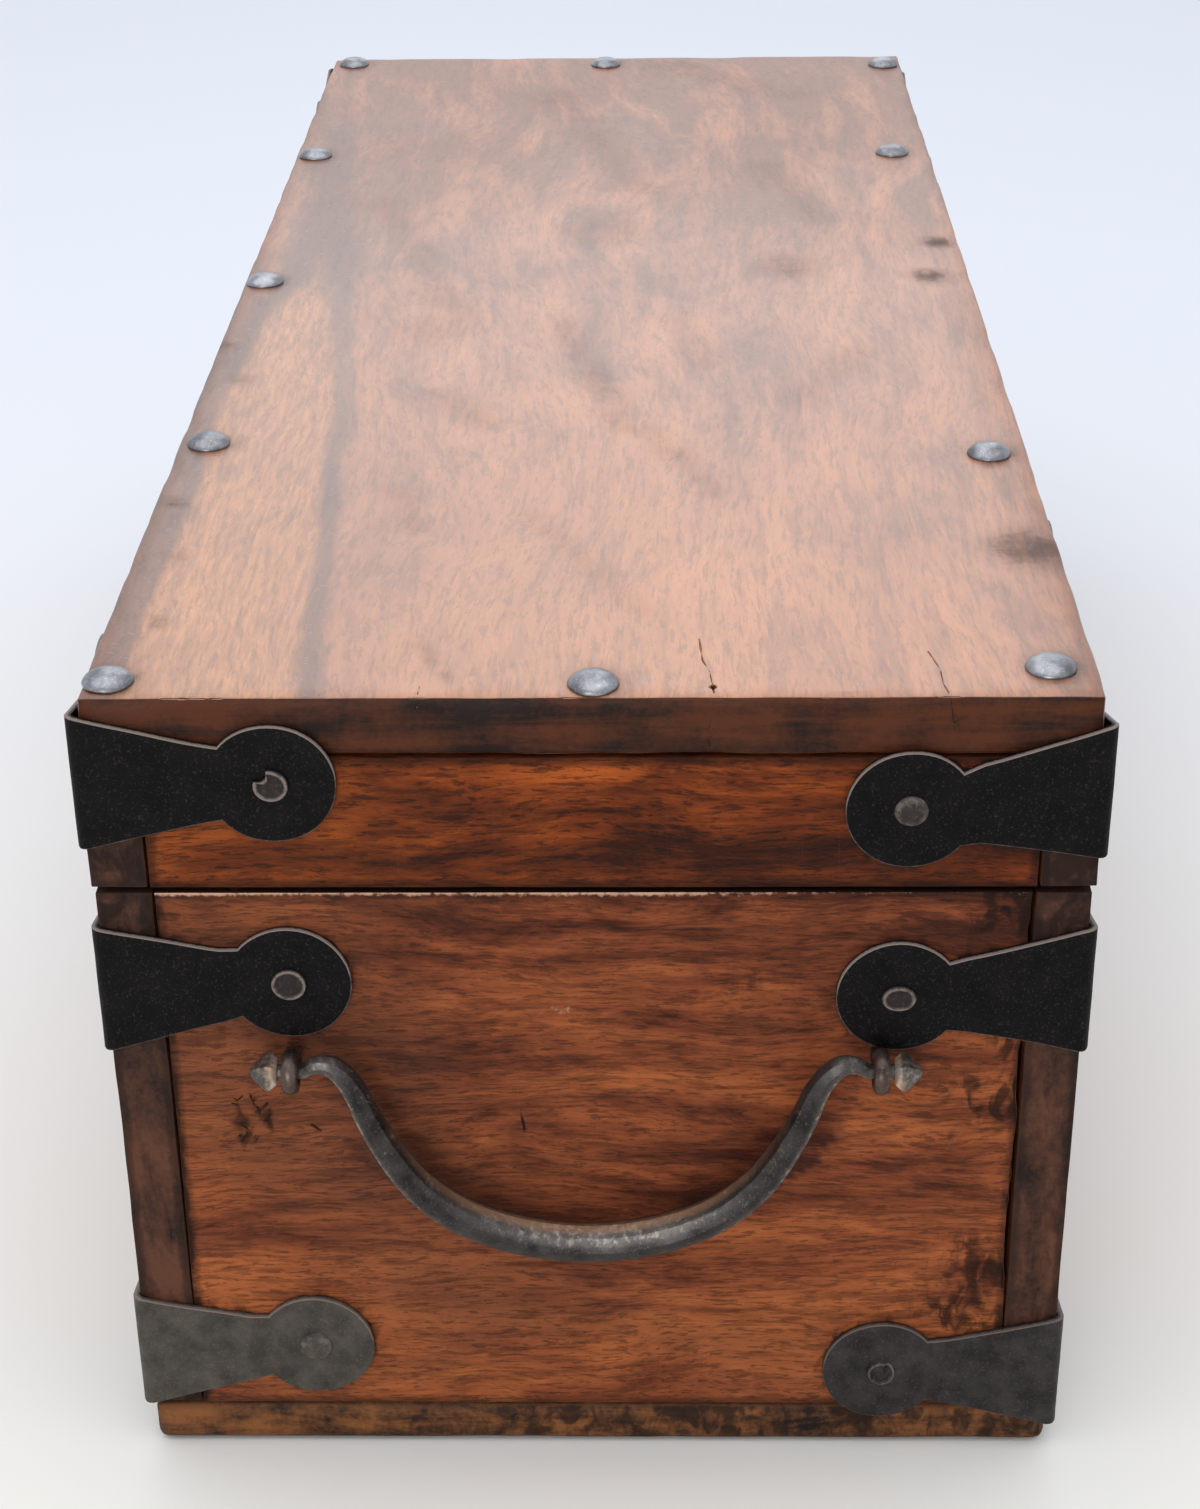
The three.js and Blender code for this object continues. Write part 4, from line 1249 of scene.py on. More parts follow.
@dataclass
class LidTop(Board):
    """The lid's top board: hazy, with a sapwood band, stains, cracks and chips.

    A stain has its X, Y and radius in millimetres, and its strength.
    """

    stains: list[tuple[float, float, float, float]] = field(default_factory=list)
    smudges: list[Scar] = field(default_factory=list)

    def dirt_and_shade_at(self, place: Vector, normal: Vector) -> float:
        """Dark rings round the nails, stains and smudges, and a darker underside.

        Args:
            place: the place on the board, in metres.
            normal: the way that the surface faces there.

        Returns:
            The amount of dirt, from 0 to 1.
        """
        if normal.z > 0.5:
            x, y = place.x / MM, place.y / MM
            amount = 0.0
            for smudge in self.smudges:
                path = smudge.points()
                if (place - path[0]).length > smudge.width + (path[-1] - path[0]).length * 1.3:
                    continue
                sway = ripple(place, 60, 7) * 0.35 * smudge.width
                gap = path_distance(place, path) + sway
                amount = max(amount, smudge.grime * (1 - ease(gap, 0, smudge.width)))
            for stain_x, stain_y, radius, strength in self.stains:
                away = math.hypot((x - stain_x) * 0.8, y - stain_y) / radius
                amount = max(amount, strength * (1 - ease(away, 0.25, 1.0)))
            return amount
        if normal.z < -0.5:
            return 0.6 + 0.2 * ripple(place, 25, 9)
        return 0.0

    def sap_at(self, place: Vector) -> float:
        """Band of sapwood along the front edge, wider towards the near end.

        Args:
            place: the place on the board, in metres.

        Returns:
            The share of sapwood, from 0 to 1.
        """
        x, y = place.x / MM, place.y / MM
        border = -54.5 - max(0.0, 250 - x) * 0.062 + 2.5 * ripple(Vector((place.x, 0, 0)), 14, 3)
        strong = 0.35 + 0.65 * ease(x, -60, 90)
        return ease(border - y, -9, 11) * strong * (1 - 0.7 * ease(-89 - y, -3, 8))

    def tone_at(self, place: Vector) -> float:
        """Darker towards the outer edges and the far end, and lighter at the near end as a painted highlight
        of the sheen.

        Args:
            place: the place on the board, in metres.

        Returns:
            The amount, less than 0 where the wood is lighter.
        """
        x, y = place.x / MM, place.y / MM
        edges = max(0.8 * ease(abs(y), 80, 100), 1.2 * ease(-x, -140, 250))
        corner = 0.8 * ease(-x, 120, 250) * ease(y, 10, 80)
        # painted highlight: the middle of the near end is lighter, standing in for the sheen there
        near = 0.9 * ease(x, 120, 235) * (1 - ease(y, 5, 75)) * ease(y, -95, -70)
        return (edges + corner) * (0.9 + 0.3 * ripple(place, 18, 12)) - near


@dataclass
class EndBoard(Board):
    """The box's end board: dark seams at both sides, dirt in fingers, pale scuffs, a pale top edge that is
    partly a painted highlight, and painted light and shade.

    A scuff has its Y, Z, half width and half height in millimetres, and its strength. A blot has
    its Y, Z and radius in millimetres, and its strength.
    """

    scuffs: list[tuple[float, float, float, float, float]] = field(default_factory=list)
    blots: list[tuple[float, float, float, float]] = field(default_factory=list)
    bail_shade: float = 1.1
    bail_half: float = 58.0

    def tone_at(self, place: Vector) -> float:
        """Painted light and shade: darker towards the top, a painted shadow just above the bail on the
        outside, and lighter low down; also darker towards the upper back corner.

        Args:
            place: the place on the board, in metres.

        Returns:
            The amount, less than 0 where the wood is lighter.
        """
        y, z = place.y / MM, place.z / MM
        round_y = (y + BAIL_SHIFT) / self.bail_half
        bail = BAIL_Z - BAIL_DROP * math.sqrt(max(0.0, 1 - round_y ** 2))
        strong = self.bail_shade if abs(place.x) > (END_X - 1) * MM else 0.0
        # painted shadow of the bail on the wood just above it, on the outside only
        shade = (1 - ease(z - bail, 2, 22)) if z > bail - 3 else 0.0
        # painted light gradient: lighter low down here, darker towards the top in the return below
        low = 1 - ease(z, 22, 66)
        corner = 0.6 * ease(y, 20, 70) * ease(z, 95, 125)
        return 0.3 * ease(z, 70, 138) + corner + strong * shade * (1 - ease(abs(y), 48, 60)) - 0.8 * low

    def dirt_and_shade_at(self, place: Vector, normal: Vector) -> float:
        """Dirt that creeps in from the seams, mostly at the back corner.

        Args:
            place: the place on the board, in metres.
            normal: the way that the surface faces there.

        Returns:
            The amount of dirt, from 0 to 1.
        """
        if abs(normal.x) < 0.5:
            return super().dirt_and_shade_at(place, normal)
        y, z = place.y / MM, place.z / MM
        fingers = ripple(Vector((place.y * 0.4, place.z, 0)), 95, 6)
        back = ease(y, 54, 86) * (0.42 + 0.6 * fingers)
        front = ease(-y, 74, 89) * (0.3 + 0.4 * fingers)
        low = ease(16 - z, 0, 6) * 0.3
        edge = 0.75 * (1 - ease(SEAM_Y - abs(y), 0, 1.8))
        amount = max(back, front, low, edge, 0.0)
        for blot_y, blot_z, radius, strength in self.blots:
            away = math.hypot(y - blot_y, (z - blot_z) * 0.8) / radius
            amount = max(amount, strength * (1 - ease(away, 0.1, 1.0)) * (0.75 + 0.5 * fingers))
        return min(1.0, amount)

    def pale_at(self, place: Vector, normal: Vector) -> float:
        """Scuffs as soft ovals, and a pale line along the top edge, partly rubbed wear and partly a painted
        highlight where the rim catches the light.

        Args:
            place: the place on the board, in metres.
            normal: the way that the surface faces there.

        Returns:
            How pale it is, from 0 to 1.
        """
        if abs(normal.x) < 0.3:
            return 0.0
        # partly painted highlight: the pale line along the top edge, weaker towards the back
        rubbed_and_lit = ease(place.z, self.high.z - 1.6 * MM, self.high.z - 0.35 * MM)
        amount = rubbed_and_lit * (0.8 + 0.2 * ripple(place, 60, 4)) * (1 - 0.5 * ease(place.y / MM, 0, 70))
        for y, z, wide, high, strength in self.scuffs:
            away = math.hypot((place.y / MM - y) / wide, (place.z / MM - z) / high)
            amount = max(amount, strength * (1 - ease(away, 0.2, 1.0)))
        return amount

    def _weather(self, bm: Mesh) -> None:
        """Wears the board, closes most of its seams and opens the one at the back corner.

        Args:
            bm: the board.
        """
        super()._weather(bm)
        for point in bm.verts:
            for side, opening in ((1, 1.25), (-1, 0.5)):
                close = 1 - ease(abs(point.co.y - side * SEAM_Y * MM), 0, 1.0 * MM)
                if close == 0.0:
                    continue
                height = Vector((0, 0, point.co.z))
                sway = ripple(height, 65, self.seed + side) + 0.5 * ripple(height, 260, self.seed)
                tall = ease(point.co.z, 30 * MM, 60 * MM) if side > 0 else ease(point.co.z, 60 * MM, 85 * MM)
                crack = max(0.0, 0.5 + 0.6 * sway) * opening * tall
                point.co.y += side * close * (0.24 - crack) * MM


@dataclass
class EndRail(Board):
    """The lid's end board, darker towards the back."""

    def tone_at(self, place: Vector) -> float:
        """Darker towards the back corner."""
        return 0.7 * ease(place.y / MM, -10, 70) * (0.8 + 0.3 * ripple(place, 25, 3))


@dataclass
class SideBoard(Board):
    """A long board of the front or back."""

    def dirt_and_shade_at(self, place: Vector, normal: Vector) -> float:
        """A little dirt low down, more on the cut ends and most at the top of those.

        Args:
            place: the place on the board, in metres.
            normal: the way that the surface faces there.

        Returns:
            The amount of dirt, from 0 to 1.
        """
        z = place.z / MM
        amount = ease(20 - z, 0, 9) * 0.3 + 0.15 * ripple(place, 30, self.seed)
        if abs(normal.x) > 0.5:
            amount += 0.22 + 0.3 * ease(z, 95, 150) + 0.12 * ease(place.y / MM, 60, 80)
        return max(super().dirt_and_shade_at(place, normal), amount)


@dataclass
class BottomBoard(Board):
    """The bottom board with worn round edges, and a sunk place round each nail head."""

    nail_places: list[tuple[float, float]] = field(default_factory=list)

    def _carve(self, bm: Mesh) -> None:
        """Sinks a round place under each nail head.

        Args:
            bm: the board.
        """
        super()._carve(bm)
        for x, y in self.nail_places:
            middle = Vector((x, y, 0)) * MM
            for point in bm.verts:
                if point.co.z < 2 * MM and abs(point.co.x - middle.x) < 6 * MM:
                    away = math.hypot(point.co.x - middle.x, point.co.y - middle.y)
                    point.co.z += 1.0 * MM * (1 - ease(away, 3.5 * MM, 4.3 * MM))

    def dirt_and_shade_at(self, place: Vector, normal: Vector) -> float:
        """Dirt where the board stands on the ground, and most of its near end.

        Args:
            place: the place on the board, in metres.
            normal: the way that the surface faces there.

        Returns:
            The amount of dirt, from 0 to 1.
        """
        amount = 0.45 * ease(2.5 - place.z / MM, 0, 2.5) * (0.6 + 0.4 * ripple(place, 50, 2))
        if normal.x > 0.5:
            amount = max(amount, 0.62 * ease(place.y / MM, -80, -30) * (0.8 + 0.3 * ripple(place, 40, 5)))
        return amount


# Nails

def nail_head_place(node: str) -> Vector:
    """Finds the middle of a lid nail's head, seen from above.

    Args:
        node: the nail.

    Returns:
        Its place along X and Y in metres.
    """
    points = [v.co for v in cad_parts[node].data.vertices]
    top = max(p.z for p in points)
    head = [p for p in points if p.z > top - NAIL_HEAD * MM]
    return Vector((max(p.x for p in head) + min(p.x for p in head),
                   max(p.y for p in head) + min(p.y for p in head))) / 2


@dataclass
class LidNail:
    """A dome-headed nail of the lid, its shank leaning towards the middle of the rail."""

    node: str
    finish: Paint
    seed: float
    radius: float = 5.15 * MM
    height: float = 2.45 * MM
    shank: float = 2.6 * MM
    sunk: float = 0.05 * MM

    def build(self) -> Piece:
        """Makes the nail.

        Returns:
            The piece.
        """
        low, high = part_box(self.node)
        middle = nail_head_place(self.node)
        tip = [v.co.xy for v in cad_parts[self.node].data.vertices if v.co.z < low.z + 0.1 * MM]
        end = sum(tip, Vector((0, 0))) / len(tip)
        base = high.z - self.height - self.sunk
        bm = bmesh.new()
        shares = [(0, 1), (0.22, 0.99), (0.42, 0.94), (0.6, 0.84), (0.76, 0.68), (0.88, 0.48),
                  (0.96, 0.26), (1, 0.08), (0.98, -0.04), (0.9, -0.1), (0, -0.1)]
        dome = turned(bm, [(r * self.radius, h * self.height) for r, h in shares], 40)
        for point in dome:
            uneven = ripple(point.co, 190, self.seed)
            point.co *= 1 + 0.022 * uneven
            point.co.z += 0.05 * MM * ripple(point.co, 420, self.seed + 2) if point.co.z > 0 else 0
        depth = base - low.z
        stem = bmesh.ops.create_cone(
            bm, cap_ends=True, segments=4, radius1=self.shank * 0.4, radius2=self.shank * 0.7,
            depth=depth, matrix=Matrix.Translation((0, 0, -depth / 2 + 0.1 * MM)))["verts"]
        for point in stem:
            share = min(max(-point.co.z / depth, 0.0), 1.0)
            point.co += Vector(((end.x - middle.x) * share, (end.y - middle.y) * share, 0))
        bmesh.ops.translate(bm, vec=(middle.x, middle.y, base), verts=bm.verts)
        return finished(bm, self.node, "lid", self.finish, 50)


@dataclass
class BottomNail:
    """A flat-headed nail driven up through the bottom board."""

    node: str
    finish: Paint

    def build(self) -> Piece:
        """Makes the nail.

        Returns:
            The piece.
        """
        low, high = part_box(self.node)
        middle = (low + high) / 2
        bm = bmesh.new()
        profile = [(0, 0), (2.6, 0.02), (3.2, 0.12), (3.4, 0.4), (3.4, 1.2), (3.2, 1.4), (0, 1.4)]
        turned(bm, [(r * MM, h * MM) for r, h in profile], 28)
        depth = high.z - low.z - 1 * MM
        bmesh.ops.create_cone(bm, cap_ends=True, segments=4, radius1=1.8 * MM, radius2=1.0 * MM,
                              depth=depth, matrix=Matrix.Translation((0, 0, 1 * MM + depth / 2)))
        bmesh.ops.translate(bm, vec=(middle.x, middle.y, low.z), verts=bm.verts)
        return finished(bm, self.node, "box", self.finish)


# Handles and eyes

@dataclass
class SplitEye:
    """A loop of iron that stands off a board, its two legs opened flat behind it."""

    node: str
    finish: Paint
    place: Vector
    turn: float
    stand_off: float
    hole: float = 2.1 * MM
    wire: float = 1.4 * MM
    width: float = 3.4 * MM
    stem: float = 2.6 * MM
    leg: float = 9.0 * MM
    leg_thickness: float = 1.7 * MM
    board: float = 11.7 * MM
    worn: float = 0.5

    def build(self) -> Piece:
        """Makes the eye with its stem and legs.

        Returns:
            The piece.
        """
        bm = bmesh.new()
        bmesh.ops.create_circle(bm, cap_ends=False, segments=20, radius=self.wire)
        section = Matrix.Translation((self.hole + self.wire, 0, 0))
        section @= Matrix.Diagonal((1, self.width / (2 * self.wire), 1, 1))
        bm.transform(section)
        bmesh.ops.spin(bm, geom=bm.verts[:] + bm.edges[:], cent=(0, 0, 0), axis=(0, 1, 0),
                       dvec=(0, 0, 0), angle=2 * math.pi, steps=40, use_merge=True,
                       use_duplicate=False)
        bmesh.ops.remove_doubles(bm, verts=bm.verts, dist=1e-6)
        bmesh.ops.translate(bm, vec=(self.stand_off, 0, 0), verts=bm.verts)
        paint_wear(bm, bm.verts[:], self.worn)
        half, back = self.width / 2, -self.board - 0.2 * MM
        front = self.stand_off - self.hole - self.wire
        block(bm, Vector((back - 0.5 * MM, -half, -self.stem / 2)),
              Vector((front, half, self.stem / 2)), 0.35 * MM)
        for side in (-1, 1):
            ends = sorted((side * self.stem * 0.1, side * self.leg))
            low = Vector((back - self.leg_thickness, -half, ends[0]))
            points = block(bm, low, Vector((back, half, ends[1])), 0.3 * MM)
            for point in points:
                thin = 1 - 0.4 * ease(abs(point.co.z), 0, self.leg)
                point.co.x = back + (point.co.x - back) * thin
        place = Matrix.Translation(self.place) @ Matrix.Rotation(self.turn, 4, "Z")
        bm.transform(place)
        return finished(bm, self.node, "box", self.finish)


@dataclass
class DropHandle:
    """A forged bail: an eight-sided bar that swells to the middle, with pointed knobs."""

    node: str
    finish: Paint
    turn: float
    spacing: float = 121.4 * MM
    stand_out: float = 260.0 * MM
    grip: float = 4.3 * MM
    neck: float = 1.6 * MM
    knob_start: float = 2.6 * MM
    knob_length: float = 6.2 * MM
    knob_half: float = 3.1 * MM
    sides: int = 32
    rings: int = 132
    shares: tuple[Triple, ...] = (
        (1, 0, 0), (0.957, -0.006, 0), (0.92, -0.034, 0.09), (0.87, -0.034, 0.235),
        (0.825, 0.02, 0.36), (0.785, 0.115, 0.46), (0.75, 0.25, 0.555), (0.715, 0.365, 0.635),
        (0.66, 0.51, 0.73), (0.59, 0.655, 0.825), (0.49, 0.79, 0.905), (0.385, 0.88, 0.95),
        (0.265, 0.945, 0.985), (0.14, 0.985, 1.0))

    def build(self) -> Piece:
        """Makes the bail and its knobs.

        Returns:
            The piece.
        """
        bm = bmesh.new()
        self._bar(bm)
        for side in (1, -1):
            self._knob(bm, side)
        direction = math.cos(self.turn)
        axis = Vector((direction * self.stand_out, -direction * BAIL_SHIFT * MM, BAIL_Z * MM))
        place = Matrix.Translation(axis) @ Matrix.Rotation(self.turn, 4, "Z")
        bm.transform(place)
        return finished(bm, self.node, self.node, self.finish, 30)

    def _stations(self) -> list[Vector]:
        """Points of the bar's middle line as (radius, across, height), evenly spread.

        Returns:
            The points, from one knob to the other.
        """
        half = self.spacing / 2
        drop = BAIL_DROP * MM
        rows = [(half + self.knob_start + 0.4 * MM, 0, 0)]
        rows += [(across * half, -fall * drop, swell) for across, fall, swell in self.shares]
        swell = self.grip - self.neck
        arm = [Vector((self.neck + s * swell, across, fall)) for across, fall, s in rows]
        other = [Vector((p.x, -p.y, p.z)) for p in reversed(arm)]
        line = arm + [Vector((self.grip, 0, -drop))] + other
        return [self._on_line(line, number / (self.rings - 1)) for number in range(self.rings)]

    @staticmethod
    def _on_line(line: list[Vector], share: float) -> Vector:
        """A point of the smooth curve through a row of points.

        Args:
            line: the points.
            share: how far along, from 0 to 1.

        Returns:
            The point on the curve.
        """
        at = share * (len(line) - 1)
        i = min(int(at), len(line) - 2)
        t = at - i
        before = line[i - 1] if i > 0 else line[0] * 2 - line[1]
        after = line[i + 2] if i + 2 < len(line) else line[-1] * 2 - line[-2]
        first, second = line[i], line[i + 1]
        return 0.5 * (2 * first + (second - before) * t
                      + (2 * before - 5 * first + 4 * second - after) * t * t
                      + (3 * first - before - 3 * second + after) * t ** 3)

    def _bar(self, bm: Mesh) -> None:
        """Draws the eight-sided bar ring by ring along its middle line.

        Args:
            bm: the mesh that it is added to.
        """
        line = self._stations()
        wear = layer(bm, "wear")
        blush = layer(bm, "blush")
        edges = []
        for number, middle in enumerate(line):
            ahead = line[min(number + 1, len(line) - 1)]
            behind = line[max(number - 1, 0)]
            slope = math.atan2(ahead.z - behind.z, ahead.y - behind.y)
            if number == 0:
                points = bmesh.ops.create_circle(bm, cap_ends=True, cap_tris=False,
                                                 segments=self.sides, radius=1)["verts"]
                edges = [e for e in bm.edges if all(v in set(points) for v in e.verts)]
                ordered = points
            else:
                edges, fresh = grow(bm, edges)
                ordered = self._follow(ordered, fresh)
            for side, point in enumerate(ordered):
                angle = 2 * math.pi * side / self.sides
                radius = middle.x * self._facet(angle)
                out, across = radius * math.cos(angle), radius * math.sin(angle)
                place = Vector((out, middle.y - across * math.sin(slope),
                                middle.z + across * math.cos(slope)))
                dent = ripple(place, 150, 3) * 0.09 * MM + ripple(place, 420, 5) * 0.04 * MM
                point.co = place + Vector((out, 0, across)).normalized() * dent * ease(radius, 1e-3, 3e-3)
                # wear with a painted highlight and a painted reflection on the bar
                point[wear] = self._wear_and_painted_light(point.co, out, across, radius)
                inner = ease(-across / max(radius, 1e-6), 0.82, 1.02)
                point[blush] = 0.3 * inner * (1 - ease(abs(place.y), 20 * MM, 50 * MM))
        bmesh.ops.contextual_create(bm, geom=edges)

    @staticmethod
    def _follow(ordered: list, fresh: list) -> list:
        """Puts the new ring's points in the order of the ring they grew from."""
        new = set(fresh)
        return [next(v for e in point.link_edges if (v := e.other_vert(point)) in new) for point in ordered]

    @staticmethod
    def _facet(angle: float) -> float:
        """Radius share of an eight-sided bar whose corners are a little soft."""
        off = angle % (math.pi / 4) - math.pi / 8
        return min(math.cos(math.pi / 8) / math.cos(off), 0.985)

    def _wear_and_painted_light(self, place: Vector, out: float, across: float, radius: float) -> float:
        """Wear and painted light at a point of the bar: rubbed by the eyes, a painted highlight that is also
        grip wear inside the middle of the bend, and a painted reflection of the floor on the outer facets of
        the arms.

        Args:
            place: the point.
            out: how far it lies out from the bar's middle line.
            across: how far outside that line, less than 0 inside the bend.
            radius: the bar's radius there.

        Returns:
            The wear with its painted highlight and reflection, from 0 to 1.
        """
        half = self.spacing / 2
        eye = 1 - ease(half - abs(place.y), 6 * MM, 17 * MM)
        middle = 1 - ease(abs(place.y), 8 * MM, 46 * MM)
        facing = 0.3 * out / radius
        # painted highlight, partly grip wear: upper facets inside the middle of the bend
        inside = ease(facing - across / radius, 0.3, 0.8) * (0.12 + 0.28 * middle)
        # painted reflection of the pale floor on the outer facets, strongest on the arms
        outside = ease(facing + across / radius, 0.5, 1.0) * (0.5 - 0.36 * middle)
        return min(1.0, max(0.34 * eye, inside, outside))

    def _knob(self, bm: Mesh, side: int) -> None:
        """Adds the square collar and blunt pyramid outside an eye.

        Args:
            bm: the mesh that it is added to.
            side: 1 or -1, the end that it goes on.
        """
        corner = self.knob_half * math.sqrt(2)
        shares = [(0, 0), (0.6, 0), (0.7, 0.06), (1, 0.3), (0.95, 0.42), (0.3, 0.92), (0, 1)]
        points = turned(bm, [(r * corner, h * self.knob_length) for r, h in shares], 4)
        bm.normal_update()
        chosen = set(points)
        ridges = [edge for edge in bm.edges
                  if all(v in chosen for v in edge.verts) and edge.calc_face_angle(0) > 0.5]
        made = rounded(bm, ridges, 0.32 * MM, 3)
        points = list({v for v in points if v.is_valid} | set(made))
        wear = layer(bm, "wear")
        blush = layer(bm, "blush")
        for point in points:
            inner = 1 - ease(point.co.z, 0, 0.5 * self.knob_length)
            point[wear] = max(0.42, inner)
            patch = ease(ripple(point.co, 300, 4 + side), -0.3, 0.5)
            point[blush] = 0.85 * patch * (1 - ease(point.co.z, 0.2 * MM, 0.45 * self.knob_length))
        turn = Matrix.Rotation(-side * math.pi / 2, 4, "X") @ Matrix.Rotation(math.pi / 4, 4, "Z")
        place = Matrix.Translation((0, side * (self.spacing / 2 + self.knob_start), 0))
        bmesh.ops.transform(bm, matrix=place @ turn, verts=points)


# Hinges and hasp

@dataclass(frozen=True)
class Barrel:
    """Rolled knuckles round a pin, side by side along X."""

    pin: float
    thickness: float
    width: float
    clearance: float = 0.15 * MM
    gap: float = 0.4 * MM
    count: int = 3

    def outer(self) -> float:
        """Outer radius of a knuckle."""
        return self.pin + self.clearance + self.thickness

    def span(self, number: int) -> tuple[float, float]:
        """Start and end of one knuckle along X."""
        start = (number / self.count - 0.5) * self.width + self.gap / 2
        return start, start + self.width / self.count - self.gap

    def add_knuckle(self, bm: Mesh, number: int) -> None:
        """Adds one knuckle round the X axis.

        Args:
            bm: the mesh that it is added to.
            number: its place in the row, from 0.
        """
        start, end = self.span(number)
        inner, outer, soft = self.pin + self.clearance, self.outer(), 0.22 * MM
        profile = [(inner, start), (outer - soft, start), (outer, start + soft),
                   (outer, (start + end) / 2), (outer, end - soft), (outer - soft, end), (inner, end)]
        points = turned(bm, profile, 32, loop=True)
        bmesh.ops.transform(bm, matrix=Matrix.Rotation(math.pi / 2, 4, "Y"), verts=points)
        paint_wear(bm, [p for p in points if p.is_valid], 0.25)

    def pin_mesh(self) -> Mesh:
        """Draws the peened pin along X.

        Returns:
            A mesh under work.
        """
        bm = bmesh.new()
        half = self.width / 2 + 0.2 * MM
        head, tall = self.pin * 1.35, self.pin * 0.5
        right = [(self.pin, half), (head * 0.97, half), (head, half + tall * 0.15),
                 (head * 0.93, half + tall * 0.45), (head * 0.72, half + tall * 0.75),
                 (head * 0.35, half + tall * 0.95), (0, half + tall)]
        left = [(radius, -height) for radius, height in reversed(right)]
        points = turned(bm, left + right, 32)
        bmesh.ops.transform(bm, matrix=Matrix.Rotation(math.pi / 2, 4, "Y"), verts=points)
        for point in bm.verts:
            point.co += Vector((1, 0.5, 0.5)) * ripple(point.co, 300, 2) * 0.05 * MM
        paint_wear(bm, bm.verts[:], 0.5)
        return bm


@dataclass
class HingeLeaf:
    """A keyhole leaf rolled round a pin, held by two rivets."""

    node: str
    body: str
    finish: Paint
    barrel: Barrel
    knuckles: tuple[int, ...]
    reach: float
    neck: float
    disc: float
    sink: float = 0.0
    seed: float = 0.0
    notch: float = 0.5 * MM

    def build(self, place: Matrix) -> Piece:
        """Makes the leaf.

        Args:
            place: where the barrel's middle goes, and which way the leaf stands.

        Returns:
            The piece.
        """
        outer = self.barrel.outer()
        start = outer + self.notch
        plate = Keyhole(self.barrel.width / 2, self.neck, self.disc, self.reach - start,
                        self.barrel.thickness)
        inner = plate.notch() - (self.disc - (plate.reach - plate.notch())) - 0.6 * MM
        bm = plate.sheet(0, [inner * share for share in (1, 0.75, 0.5, 0.25, 0.1, 0)])
        thicken(bm, plate.thickness, 0.28 * MM)
        for point in bm.verts:
            if point.co.z > 0.2 * MM:
                point.co.z += ripple(point.co, 150, self.seed) * 0.06 * MM
        near = start + RivetHead.radius + 0.2 * MM
        for height in (self.reach, near):
            RivetHead(seed=self.seed + height * 100).add_to(
                bm, Vector((height - start, 0, plate.thickness)))
        # the flat leaf's +X becomes up and its outer side faces -Y
        upright = Matrix(((0, -1, 0, 0), (0, 0, -1, outer + self.sink), (1, 0, 0, start), (0, 0, 0, 1)))
        bm.transform(upright)
        for number in self.knuckles:
            first, last = self.barrel.span(number)
            self.barrel.add_knuckle(bm, number)
            block(bm, Vector((first, outer - self.barrel.thickness, 0)),
                  Vector((last, outer + self.sink, start + 0.4 * MM)), 0.15 * MM)
        bm.transform(place)
        return finished(bm, self.node, self.body, self.finish)


@dataclass
class BackHinges:
    """The two strap hinges on the back."""

    leaf_finish: Paint
    pin_finish: Paint
    places: tuple[tuple[str, float], ...] = (("right", 150.012 * MM), ("left", -149.506 * MM))
    axis_y: float = 105.55 * MM
    axis_z: float = JOINT_Z * MM
    neck: float = 7.5 * MM
    disc: float = 10.5 * MM

    def build(self) -> None:
        """Makes both leaves and the pin of each hinge."""
        barrel = Barrel(pin=2.4 * MM, thickness=1.4 * MM, width=28.5 * MM)
        for number, (name, x) in enumerate(self.places):
            about = Matrix.Rotation(math.pi, 4, "Z")
            place = Matrix.Translation((x, self.axis_y, self.axis_z)) @ about
            down = place @ Matrix.Rotation(math.pi, 4, "Y")
            HingeLeaf("hinge_lid_leaf_" + name, "lid", self.leaf_finish, barrel, (1,),
                      reach=25 * MM, neck=self.neck, disc=self.disc, seed=3 + number).build(place)
            HingeLeaf("hinge_box_leaf_" + name, "box", self.leaf_finish, barrel, (0, 2),
                      reach=36 * MM, neck=self.neck, disc=self.disc, sink=0.7 * MM,
                      seed=8 + number).build(down)
            bm = barrel.pin_mesh()
            bm.transform(place)
            finished(bm, "hinge_pin_" + name, "box", self.pin_finish)


